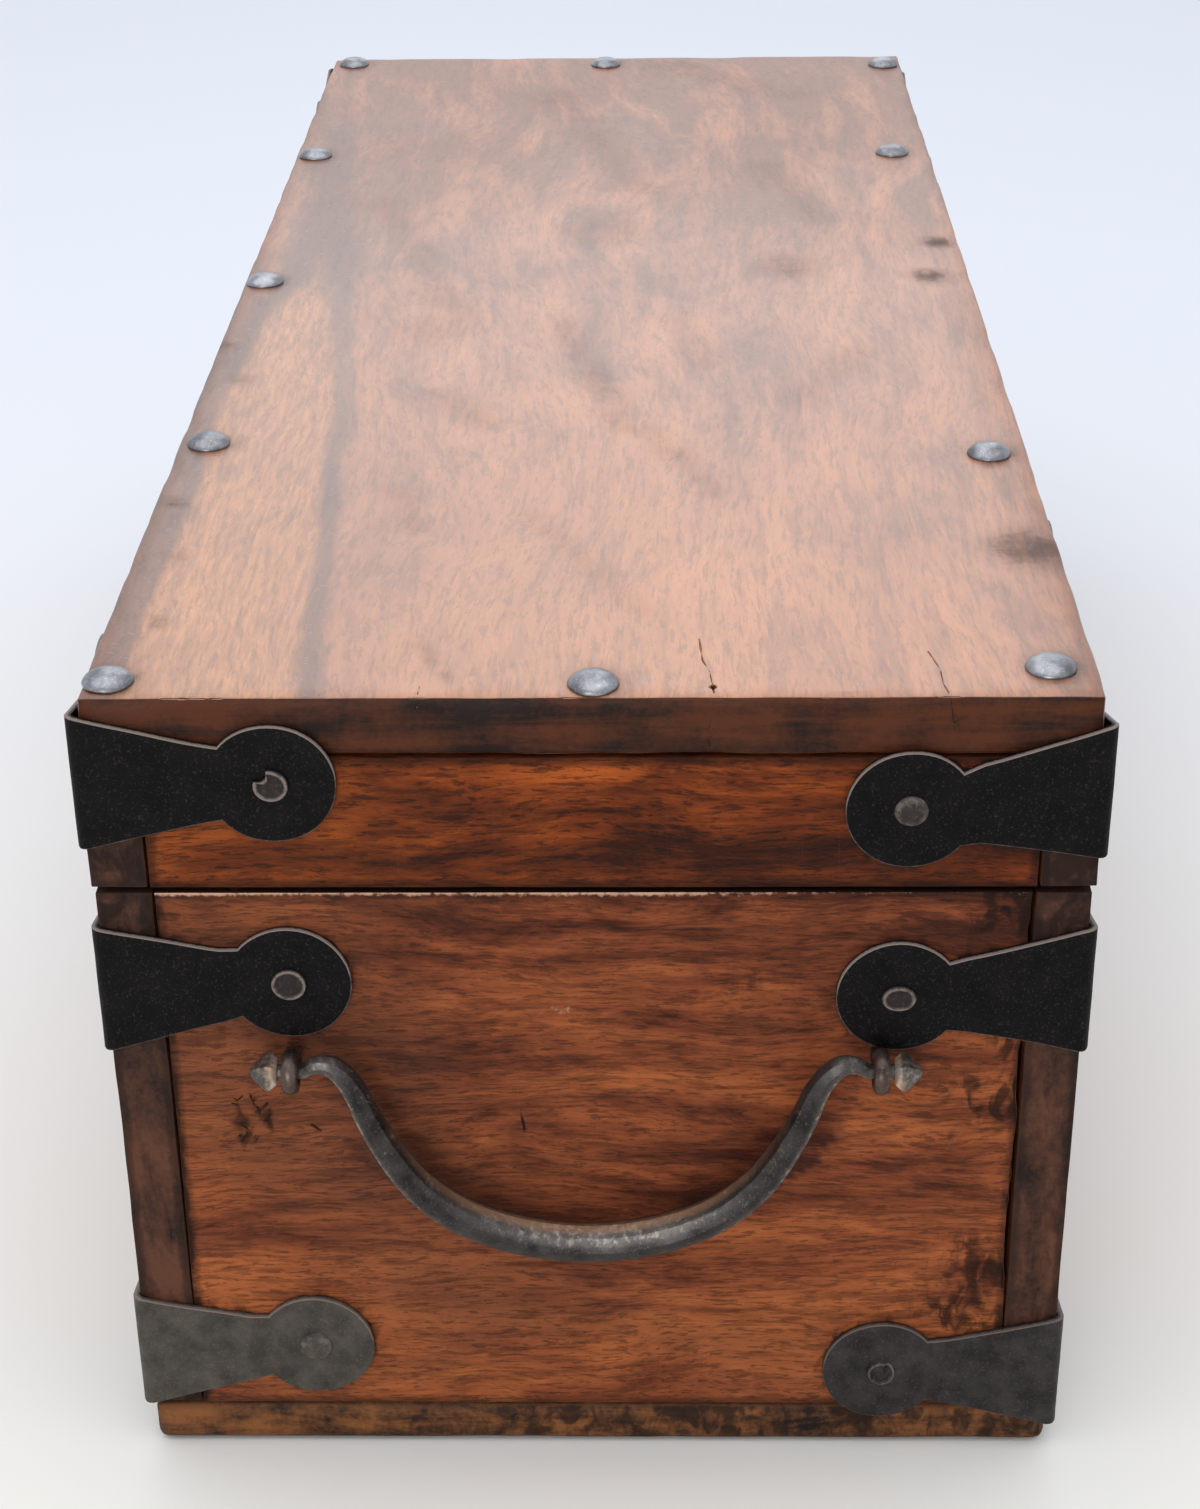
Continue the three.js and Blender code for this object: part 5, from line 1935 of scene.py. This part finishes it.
@dataclass
class HaspSet:
    """The fastening at the front: hanger, pin, swinging slotted strap and staple."""

    strap_finish: Paint
    pin_finish: Paint
    axis: Vector = field(default_factory=lambda: Vector((11, -105.15, 151)) * MM)
    width: float = 25.0 * MM
    end_share: float = 0.86
    thickness: float = 1.6 * MM
    curl: float = 3.6 * MM
    curl_turn: float = 0.8 * math.pi
    slot_half: float = 3.0 * MM
    slot_play: float = 1.3 * MM
    staple_drop: float = 34.0 * MM
    staple_reach: float = 8.2 * MM
    staple_half: float = 7.2 * MM
    ajar: float = math.radians(23)

    def build(self) -> None:
        """Makes the four pieces."""
        barrel = Barrel(pin=1.8 * MM, thickness=1.6 * MM, width=26 * MM)
        place = Matrix.Translation(self.axis)
        HingeLeaf("hasp_hanger", "lid", self.strap_finish, barrel, (0, 2), reach=20.5 * MM,
                  neck=7 * MM, disc=9.5 * MM, seed=13).build(place)
        bm = barrel.pin_mesh()
        bm.transform(place)
        finished(bm, "hasp_pin", "lid", self.pin_finish)
        self._strap(barrel)
        staple = Vector((self.axis.x, -SIDE_Y * MM, self.axis.z - self.staple_drop))
        SplitEye("hasp_staple", self.pin_finish, staple, -math.pi / 2, self.staple_reach,
                 hole=4.1 * MM, wire=1.55 * MM, width=3.6 * MM, stem=5 * MM, leg=10 * MM,
                 leg_thickness=1.9 * MM, worn=0.35).build()

    def _strap(self, barrel: Barrel) -> None:
        """Makes the slotted strap: drawn flat, thickened, curled at its end and hung ajar.

        Args:
            barrel: the barrel that it hangs on.
        """
        top, bottom, slot_top, slot_bottom = self._lengths(barrel)
        bm = bmesh.new()
        ring = bmesh.ops.create_circle(bm, cap_ends=False, segments=24, radius=self.slot_half)["verts"]
        reach = (slot_bottom - slot_top) / 2 - self.slot_half
        for point in ring:
            if abs(point.co.y) > 1e-6:
                point.co.y += math.copysign(reach, point.co.y)
        inner = list({edge for v in ring for edge in v.link_edges})
        frame_ring = bmesh.ops.create_circle(bm, cap_ends=False, segments=24, radius=1)["verts"]
        tall = reach + self.slot_half + 2.0 * MM
        for point in frame_ring:
            spread = max(abs(point.co.x), abs(point.co.y))
            point.co = Vector((point.co.x / spread * self.width / 2, point.co.y / spread * tall, 0))
        outer = list({edge for v in frame_ring for edge in v.link_edges})
        bmesh.ops.bridge_loops(bm, edges=inner + outer)
        middle = -(slot_top + slot_bottom) / 2
        bmesh.ops.translate(bm, vec=(0, middle, 0), verts=bm.verts)
        first, last = barrel.span(1)
        self._lengthen(bm, middle + tall, [(-top - 5 * MM, self.width / 2),
                                           (-top - 3 * MM, self.width / 2),
                                           (-top, (last - first) / 2), (-2.6 * MM, (last - first) / 2)])
        steps = [middle - tall - 2 * MM, -bottom]
        steps += [-bottom - self.curl * self.curl_turn * n / 14 for n in range(1, 15)]
        self._lengthen(bm, middle - tall, [(y, self.width / 2) for y in steps])
        for point in bm.verts:
            if point.co.y < -top - 2 * MM:
                share = (-top - 2 * MM - point.co.y) / (bottom + self.curl)
                point.co.x *= 1 - (1 - self.end_share) * min(share, 1.0)
        thicken(bm, self.thickness, 0.26 * MM)
        for point in bm.verts:
            flat = point.co.copy()
            outward = flat.z - self.thickness / 2
            past = -bottom - flat.y
            if past <= 0:
                point.co = Vector((flat.x, -outward, flat.y))
            else:
                angle = past / self.curl
                radius = self.curl - outward
                point.co = Vector((flat.x, -self.curl + radius * math.cos(angle),
                                   -bottom - radius * math.sin(angle)))
        for point in bm.verts:
            point.co.y += ripple(point.co, 110, 6) * 0.07 * MM
        barrel.add_knuckle(bm, 1)
        place = Matrix.Translation(self.axis) @ Matrix.Rotation(-self.ajar, 4, "X")
        bm.transform(place)
        finished(bm, "hasp_strap", "hasp", self.strap_finish)

    def _lengths(self, barrel: Barrel) -> tuple[float, float, float, float]:
        """Top, curl, slot top and slot bottom, as distances below the barrel's middle.

        Args:
            barrel: the barrel that the strap hangs on.

        Returns:
            The four distances in metres.
        """
        drop, past = self.staple_drop, self.staple_reach + self.axis.y + SIDE_Y * MM
        when_ajar = drop * math.cos(self.ajar) + past * math.sin(self.ajar)
        centre = (when_ajar + drop) / 2
        half = self.staple_half + self.slot_play + abs(drop - when_ajar) / 2
        return barrel.outer() + 0.5 * MM, centre + half + 6 * MM, centre - half, centre + half

    @staticmethod
    def _lengthen(bm: Mesh, start: float, rows: list[tuple[float, float]]) -> None:
        """Extends the flat strap from its border at one height through further rows.

        Args:
            bm: the flat strap.
            start: the height of the border that grows.
            rows: height and half width of each new row.
        """
        edges = [edge for edge in bm.edges
                 if edge.is_boundary and all(abs(v.co.y - start) < 1e-6 for v in edge.verts)]
        for height, half in rows:
            edges, points = grow(bm, edges)
            widest = max(abs(point.co.x) for point in points)
            for point in points:
                point.co = Vector((point.co.x / widest * half, height, 0))


# The whole chest

CASE_WOOD = TimberFinish(
    "case_wood", dark=rgb(68, 30, 17), middle=rgb(121, 62, 35), light=rgb(160, 89, 48),
    cloud=rgb(102, 61, 41), end_dark=rgb(46, 30, 22), end_light=rgb(96, 64, 46),
    grime=rgb(26, 14, 9), worn=rgb(160, 104, 70), pale=rgb(202, 158, 134),
    grain=GrainRun.CROSSWAYS, hair_share=0.8, edge_worn=0.05, edge_dirt=0.6, specular=0.1)


@dataclass(frozen=True)
class Palette:
    """Every finish of the chest."""

    top: TimberFinish = TimberFinish(
        "top_wood", dark=rgb(124, 75, 46), middle=rgb(162, 103, 67), light=rgb(182, 118, 74),
        cloud=rgb(132, 88, 63), end_dark=rgb(27, 13, 8), end_light=rgb(78, 38, 17),
        grime=rgb(36, 26, 24), worn=rgb(196, 150, 122), pale=rgb(218, 184, 164),
        sap_dark=rgb(142, 88, 46), sap_light=rgb(190, 128, 72), sap_streak=rgb(98, 62, 42),
        streak_share=0.32, hair_share=0.42, scratch_share=0.45, sway=0.035, zoom=0.55, fibre=0.28,
        soft_dirt=0.75, end_stretch=(60, 22, 240), edge_width=0.8 * MM, edge_worn=0.95,
        edge_dirt=0.1, roughness=(0.36, 0.48), specular=0.15, coat=1.0, bump=0.16)
    end: TimberFinish = CASE_WOOD
    rail: TimberFinish = TimberFinish(
        "rail_wood", dark=rgb(50, 19, 7), middle=rgb(108, 47, 16), light=rgb(160, 78, 28),
        cloud=rgb(86, 43, 19), end_dark=rgb(40, 25, 18), end_light=rgb(76, 48, 34),
        grime=rgb(18, 10, 7), worn=rgb(150, 96, 62), pale=rgb(150, 98, 66),
        grain=GrainRun.CROSSWAYS, hair_share=0.95, edge_worn=0.05, edge_dirt=0.75, specular=0.1)
    side: TimberFinish = TimberFinish(
        "side_wood", dark=rgb(78, 36, 20), middle=rgb(124, 64, 36), light=rgb(156, 86, 48),
        cloud=rgb(108, 66, 44), end_dark=rgb(26, 14, 10), end_light=rgb(88, 53, 37),
        grime=rgb(26, 16, 13), worn=rgb(150, 102, 70), pale=rgb(168, 120, 92),
        edge_worn=0.15, edge_dirt=0.7)
    bottom: TimberFinish = TimberFinish(
        "bottom_wood", dark=rgb(50, 30, 20), middle=rgb(80, 50, 30), light=rgb(120, 78, 42),
        cloud=rgb(92, 62, 36), end_dark=rgb(26, 16, 11), end_light=rgb(126, 78, 42),
        grime=rgb(28, 18, 13), worn=rgb(140, 98, 60), pale=rgb(150, 112, 76),
        end_stretch=(60, 40, 170), edge_worn=0.3, edge_dirt=0.3)
    black_iron: IronFinish = IronFinish(
        "black_iron", dark=rgb(6, 5, 6), light=rgb(15, 13, 15), rubbed_and_lit=rgb(158, 142, 134),
        rust=rgb(40, 30, 26), metallic=0.0, roughness=(0.46, 0.6), scratch_share=0.06,
        speck_share=0.05, rust_share=0.12, specular=0.08, rubbed_share=0.6, soft=0.4)
    grey_iron: IronFinish = IronFinish(
        "grey_iron", dark=rgb(52, 48, 44), light=rgb(82, 76, 69), rubbed_and_lit=rgb(146, 128, 118),
        rust=rgb(64, 50, 42), metallic=0.2, roughness=(0.4, 0.58), scratch_share=0.15,
        speck_share=0.15, rust_share=0.25, specular=0.2, rubbed_share=0.5)
    dull_iron: IronFinish = IronFinish(
        "dull_iron", dark=rgb(28, 26, 26), light=rgb(56, 52, 52), rubbed_and_lit=rgb(130, 114, 106),
        rust=rgb(60, 48, 42), metallic=0.2, roughness=(0.4, 0.58), scratch_share=0.2,
        speck_share=0.15, rust_share=0.25, specular=0.2, rubbed_share=0.5)
    nail_iron: IronFinish = IronFinish(
        "nail_iron", dark=rgb(102, 102, 106), light=rgb(158, 159, 164), rubbed_and_lit=rgb(230, 231, 235),
        rust=rgb(100, 84, 76), metallic=0.9, roughness=(0.24, 0.4), scratch_share=0.35,
        speck_share=0.15, rust_share=0.25, bump=0.15)
    forged_iron: IronFinish = IronFinish(
        "forged_iron", dark=rgb(22, 20, 20), light=rgb(60, 56, 54), rubbed_and_lit=rgb(212, 200, 190),
        rust=rgb(98, 66, 48), metallic=0.6, roughness=(0.22, 0.4), scratch_share=0.12,
        speck_share=0.05, rust_share=0.6, rubbed_share=0.68, grit=650.0, soft=0.25, bump=0.4,
        blush=rgb(222, 172, 130))
    eye_iron: IronFinish = IronFinish(
        "eye_iron", dark=rgb(50, 41, 38), light=rgb(104, 86, 78), rubbed_and_lit=rgb(190, 166, 154),
        rust=rgb(88, 60, 50), metallic=0.7, roughness=(0.24, 0.42), scratch_share=0.15,
        speck_share=0.15, rust_share=0.25, bump=0.15)


@dataclass
class Woodwork:
    """All the boards of box and lid."""

    palette: Palette

    def build(self) -> None:
        """Makes every board."""
        self._lid_top()
        self._ends()
        self._sides()

    def _lid_top(self) -> None:
        """The top board with its cracks, chips, worm hole and stains."""
        middle_crack = Scar(on_top((227, 21.6), (236.8, 22.1), (241.7, 23.4), (248.8, 23.9),
                                   (END_X, 24.2)), 0.17 * MM, 0.4 * MM, 0.7)
        middle_split = Scar(on_end((24.2, TOP_Z), (23.6, 184.2), (22.9, 180.2), (23.7, 175.8)),
                            0.2 * MM, 0.1 * MM, 1.0)
        right_crack = Scar(on_top((233, 67.2), (241, 68.8), (247.7, 68.9), (END_X, 69.8)),
                           0.13 * MM, 0.3 * MM, 0.55)
        right_split = Scar(on_end((69.8, TOP_Z), (70.9, 181)), 0.18 * MM, 0.1 * MM, 1.0)
        left_nick = Scar(on_top((248, -33.4)) + on_end((-33.7, TOP_Z), (-33.8, 186)),
                         0.2 * MM, 0.4 * MM, 0.8)
        worm_hole = Scar(on_top((248.6, 23.9)), 0.85 * MM, 1.8 * MM, 1.0)
        chips = [Scar(on_end((start, TOP_Z), (end, TOP_Z - fall)), width * MM, depth * MM, grime)
                 for start, end, fall, width, depth, grime in (
                     (-80, -78.2, 0.2, 0.9, 0.6, 0.3), (-76, -74, 0.1, 0.7, 0.5, 0.3),
                     (-3, 1, 0, 0.6, 0.35, 0.2), (48, 50, 0, 0.7, 0.4, 0.2))]
        stains = [(182, 93.3, 13, 0.75), (-34.7, 93.8, 7, 0.9), (-4, 89.3, 8, 0.8),
                  (-13.5, 49.8, 14, 0.4), (50.6, -98.5, 5, 0.6),
                  (75.9, -91, 4, 0.6), (155.4, -95.5, 4, 0.6), (185, -90.4, 4, 0.5),
                  (218.4, -89, 4, 0.5), (-47.8, -2.7, 20, 0.25), (38.8, -46.1, 15, 0.25)]
        for node in sorted(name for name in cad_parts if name.startswith("lid_nail")):
            middle = nail_head_place(node) / MM
            stains.append((middle.x - 0.5, middle.y + 0.8, 8.5, 0.8))
        smudges = [Scar(on_top((x0, y0), (x1, y1)), width * MM, 0.0, strength)
                   for x0, y0, x1, y1, width, strength in (
                       (-79, -69, 39, -35.5, 9, 0.2), (31, -12, 111, 7, 7, 0.3),
                       (111, 12, 150, 26, 8, 0.32), (163, -15, 213, 10, 6, 0.22),
                       (88, -40, 106, -30, 10, 0.34), (92, 48, 56, 66, 9, 0.2),
                       (-200, -20, -90, 10, 14, 0.25), (-110, 50, -60, 62, 12, 0.25),
                       (150, -46, 168, -40, 7, 0.25), (228, -35, 252, -26, 2.4, 0.4),
                       (30, 20, 66, 26, 8, 0.2), (-240, 20, -200, 60, 16, 0.25))]
        scars = [middle_crack, middle_split, right_crack, right_split, left_nick, worm_hole, *chips]
        LidTop("lid_top_board", "lid", self.palette.top, "lid_wood", 1.0, cell=3.2 * MM,
               rounding=0.9 * MM, wear=0.55 * MM, scars=scars, stains=stains, smudges=smudges).build()

    def _ends(self) -> None:
        """End boards of the box and end rails of the lid."""
        pits = [Scar(on_end((y0, z0), (y1, z1)), 0.24 * MM, 0.3 * MM, 0.9)
                for y0, z0, y1, z1 in (
                    (-77.6, 95, -75.4, 93.6), (-75.4, 93.6, -74.2, 94.6), (-76.6, 92.9, -74.6, 92.2),
                    (-72.6, 95.2, -72, 92.4), (-72, 92.4, -70.6, 91.2), (-70.6, 94.2, -70.2, 91.6),
                    (-70.6, 91.2, -71.4, 88.6), (-69.2, 93, -68.2, 90.4), (-68.6, 90, -69.8, 88.2),
                    (-72.6, 90.6, -73.4, 88.4), (-75, 87.4, -73.6, 86.2), (-73.6, 86.2, -74.2, 83.8),
                    (-75.6, 84.6, -74, 82.6), (-72.4, 84.4, -71.6, 82.4), (-70.2, 86.8, -69.2, 85.6),
                    (-60, 87.3, -58.2, 85.8))]
        seam = Scar(on_end((88.5, 140), (88.1, 126), (88.7, 112), (87.7, 97), (88.6, 84), (87.9, 70),
                           (88.6, 56), (88.2, 44)), 0.55 * MM, 0.4 * MM, 1.0)
        scratch = Scar(on_end((-15.9, 92), (-15, 86)), 0.35 * MM, 0.3 * MM, 0.7)
        scuffs = [(-7.1, 116.3, 9, 3.5, 0.5), (-15.4, 113.9, 7, 2.4, 0.4), (-0.8, 120, 6, 2, 0.4),
                  (-6, 82, 1.2, 7, 0.35), (52, 121, 12, 1.1, 0.5), (30, 74, 16, 3, 0.25),
                  (-40, 40, 22, 6, 0.25)]
        blots = [(-72, 90, 10, 0.8), (-73, 84, 6, 0.75), (76, 99, 12, 0.62), (72.8, 81, 12, 0.6),
                 (78, 65, 12, 0.62), (75, 52, 11, 0.6), (-62, 55, 4, 0.6), (24, 60, 4, 0.5),
                 (66, 128, 14, 0.5), (30, 122, 8, 0.45), (-30, 130, 9, 0.4)]
        EndBoard("right_end_board", "box", self.palette.end, "case_wood", 2.0, cell=1.6 * MM,
                 rounding=0.3 * MM, wear=0.12 * MM, scars=[*pits, scratch, seam], scuffs=scuffs,
                 blots=blots).build()
        EndBoard("left_end_board", "box", self.palette.end, "case_wood", 5.0, cell=2.2 * MM,
                 rounding=0.3 * MM, wear=0.12 * MM, bail_shade=0.25,
                 blots=[(60, 50, 14, 0.6), (-70, 100, 12, 0.6)],
                 scuffs=[(20, 110, 9, 3, 0.6), (-30, 60, 20, 5, 0.35)]).build()
        for node, seed, cell in (("lid_right_rail", 3.0, 1.6), ("lid_left_rail", 6.0, 2.2)):
            EndRail(node, "lid", self.palette.rail, "case_wood", seed, cell=cell * MM,
                    rounding=0.3 * MM, wear=0.12 * MM).build()

    def _sides(self) -> None:
        """Side boards of the box, side rails of the lid and the bottom board."""
        for number, node in enumerate(("front_board", "back_board")):
            SideBoard(node, "box", self.palette.side, "case_wood", 11.0 + 2 * number,
                      cell=2.6 * MM, rounding=0.4 * MM, wear=0.3 * MM).build()
        for number, node in enumerate(("lid_front_rail", "lid_back_rail")):
            SideBoard(node, "lid", self.palette.side, "case_wood", 17.0 + 2 * number,
                      cell=2.4 * MM, rounding=0.4 * MM, wear=0.3 * MM).build()
        places = []
        for node in sorted(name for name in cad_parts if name.startswith("bottom_nail")):
            low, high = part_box(node)
            places.append(((low.x + high.x) / 2 / MM, (low.y + high.y) / 2 / MM))
        hollows = [Scar([(x, y, 0)], 1.5 * MM, 0.0, 0.5) for x, y in places]
        BottomBoard("bottom_board", "box", self.palette.bottom, "case_wood", 23.0, cell=3.2 * MM,
                    rounding=2.4 * MM, wear=0.5 * MM, scars=hollows, nail_places=places).build()


@dataclass
class Ironwork:
    """All the iron of box and lid."""

    palette: Palette

    def build(self) -> None:
        """Makes straps, nails, hinges, hasp and handles."""
        self.black = self.palette.black_iron.material()
        self.grey = self.palette.grey_iron.material()
        self.dull = self.palette.dull_iron.material()
        self.nail = self.palette.nail_iron.material()
        self.forged = self.palette.forged_iron.material()
        self.eye = self.palette.eye_iron.material()
        self._straps()
        self._nails()
        self._handles()
        BackHinges(self.black, self.forged).build()
        HaspSet(self.black, self.forged).build()

    def _straps(self) -> None:
        """Twelve corner straps, each with its own rivet heads."""
        heads = {
            "lid_strap_front_right": RivetHead(HeadForm.NOTCHED, height=1.3 * MM, turn=2.3, seed=1),
            "upper_strap_front_right": RivetHead(HeadForm.SWIRLED, height=1.3 * MM, seed=2),
            "lower_strap_front_right": RivetHead(HeadForm.DOMED, seed=3, shine=0.36),
            "lid_strap_back_right": RivetHead(HeadForm.DOMED, radius=3.5 * MM, seed=4, shine=0.36),
            "upper_strap_back_right": RivetHead(HeadForm.RINGED, height=1.2 * MM, squash=0.82, seed=5),
            "lower_strap_back_right": RivetHead(HeadForm.SPLIT, radius=3.3 * MM, turn=0.8, seed=6),
        }
        number = 0
        for row in STRAP_ROWS:
            finish = self.black
            for name, corner, turn, rise in row.corners():
                number += 1
                if row.name == "lower_strap":
                    finish = self.grey if "front" in name else self.dull
                plain = RivetHead(seed=10 + number)
                other = RivetHead(HeadForm.SWIRLED if number % 3 == 0 else HeadForm.DOMED,
                                  height=1.4 * MM, seed=30 + number)
                seen = heads.get(name, plain)
                # on the back corners the end face carries the other half of the strap
                pair = (other, seen) if "back_right" in name or "front_left" in name else (seen, other)
                CornerStrap(name, row.body, corner, turn, rise, finish, pair, float(number)).build()

    def _nails(self) -> None:
        """Dome nails of the lid and flat nails of the bottom."""
        for number, node in enumerate(sorted(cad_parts)):
            if node.startswith("lid_nail"):
                LidNail(node, self.nail, float(number)).build()
            elif node.startswith("bottom_nail"):
                BottomNail(node, self.nail).build()

    def _handles(self) -> None:
        """Both drop handles and their eyes."""
        for name, turn in (("right", 0.0), ("left", math.pi)):
            DropHandle(name + "_handle", self.forged, turn).build()
            direction = math.cos(turn)
            for side in (-1, 1):
                y = direction * (side * DropHandle.spacing / 2 - BAIL_SHIFT * MM)
                end = "_eye_front" if y < 0 else "_eye_back"
                place = Vector((direction * END_X * MM, y, BAIL_Z * MM))
                SplitEye(name + "_handle" + end, self.eye, place, turn, 7 * MM).build()


@dataclass
class Studio:
    """Pale floor, soft lamps, pale surroundings and the camera."""

    floor_near: Colour = rgb(234, 232, 226)
    floor_far: Colour = rgb(220, 223, 230)
    world_light: float = 0.72
    overhead_power: float = 19.0
    front_power: float = 4.5
    back_power: float = 7.5

    def build(self) -> None:
        """Makes everything round the chest."""
        self._floor()
        self._world()
        self._lamp("overhead", Vector((0.15, -0.1, 1.5)), Vector((0, 0, 0.1)), 2.2, self.overhead_power)
        self._lamp("behind", Vector((-2.2, 0, 1.55)), Vector((0.2, 0, 0.19)), 1.5, self.back_power)
        self._lamp("front", Vector((1.5, -0.3, 0.34)), Vector((0.2, 0, 0.08)), 0.6, self.front_power)
        self._camera()

    def _floor(self) -> None:
        """A wide plane whose colour changes slowly away from the camera."""
        bm = bmesh.new()
        bmesh.ops.create_grid(bm, x_segments=8, y_segments=8, size=6)
        bmesh.ops.translate(bm, vec=(0, 0, -0.3 * MM), verts=bm.verts)
        paint, sheet = new_paint("floor")
        place = sheet.add("ShaderNodeTexCoord").outputs["Object"]
        x = sheet.add("ShaderNodeSeparateXYZ", {0: place}).outputs[0]
        colour = sheet.ramp(sheet.step(x, -0.5, 0.35), [(0.0, self.floor_far), (1.0, self.floor_near)])
        sheet.feed(paint.node_tree.nodes["Principled BSDF"],
                   {"Base Color": colour, "Roughness": 0.9, "Specular IOR Level": 0.1})
        floor = shown(bm, "floor", paint)

    def _world(self) -> None:
        """Even light from all round, which the camera and reflections see as pale."""
        world = bpy.data.worlds.new("surroundings")
        bpy.context.scene.world = world
        world.use_nodes = True
        sheet = NodeSheet(world.node_tree)
        rays = sheet.add("ShaderNodeLightPath").outputs
        seen = sheet.larger(rays["Is Camera Ray"], rays["Is Transmission Ray"])
        seen = sheet.larger(seen, rays["Is Glossy Ray"])
        strength = sheet.plus(sheet.times(seen, 1 - self.world_light), self.world_light)
        sheet.feed(world.node_tree.nodes["Background"],
                   {"Color": rgb(244, 248, 255), "Strength": strength})

    def _lamp(self, name: str, place: Vector, target: Vector, size: float, power: float) -> None:
        """Adds one soft square lamp.

        Args:
            name: the lamp's name.
            place: where it hangs.
            target: what it points at.
            size: its side.
            power: its power in watts.
        """
        light = bpy.data.lights.new(name, "AREA")
        light.shape = "SQUARE"
        light.size = size
        light.energy = power
        lamp = bpy.data.objects.new(name, light)
        lamp.location = place
        lamp.rotation_euler = (target - place).to_track_quat("-Z", "Y").to_euler()
        bpy.context.scene.collection.objects.link(lamp)

    def _camera(self) -> None:
        """The photograph's view."""
        lens = bpy.data.cameras.new("camera")
        lens.sensor_fit = "AUTO"
        lens.sensor_width = 36
        lens.lens = 65.46
        camera = bpy.data.objects.new("camera", lens)
        right = Vector((-0.0152, 0.9998, -0.0102))
        forward = Vector((-0.8828, -0.0182, -0.4695))
        right = (right - forward * right.dot(forward)).normalized()
        forward.normalize()
        up = right.cross(forward)
        turn = Matrix((right, up, -forward)).transposed().to_4x4()
        camera.matrix_world = Matrix.Translation((0.7275, 0.0116, 0.4283)) @ turn
        bpy.context.scene.collection.objects.link(camera)
        bpy.context.scene.camera = camera


def main() -> None:
    """Builds the chest's looks and the studio."""
    logging.basicConfig(level=logging.INFO, format="%(message)s")
    bpy.context.scene.view_settings.view_transform = "Standard"
    Studio().build()
    palette = Palette()
    Woodwork(palette).build()
    Ironwork(palette).build()


if __name__ == "__main__":
    main()
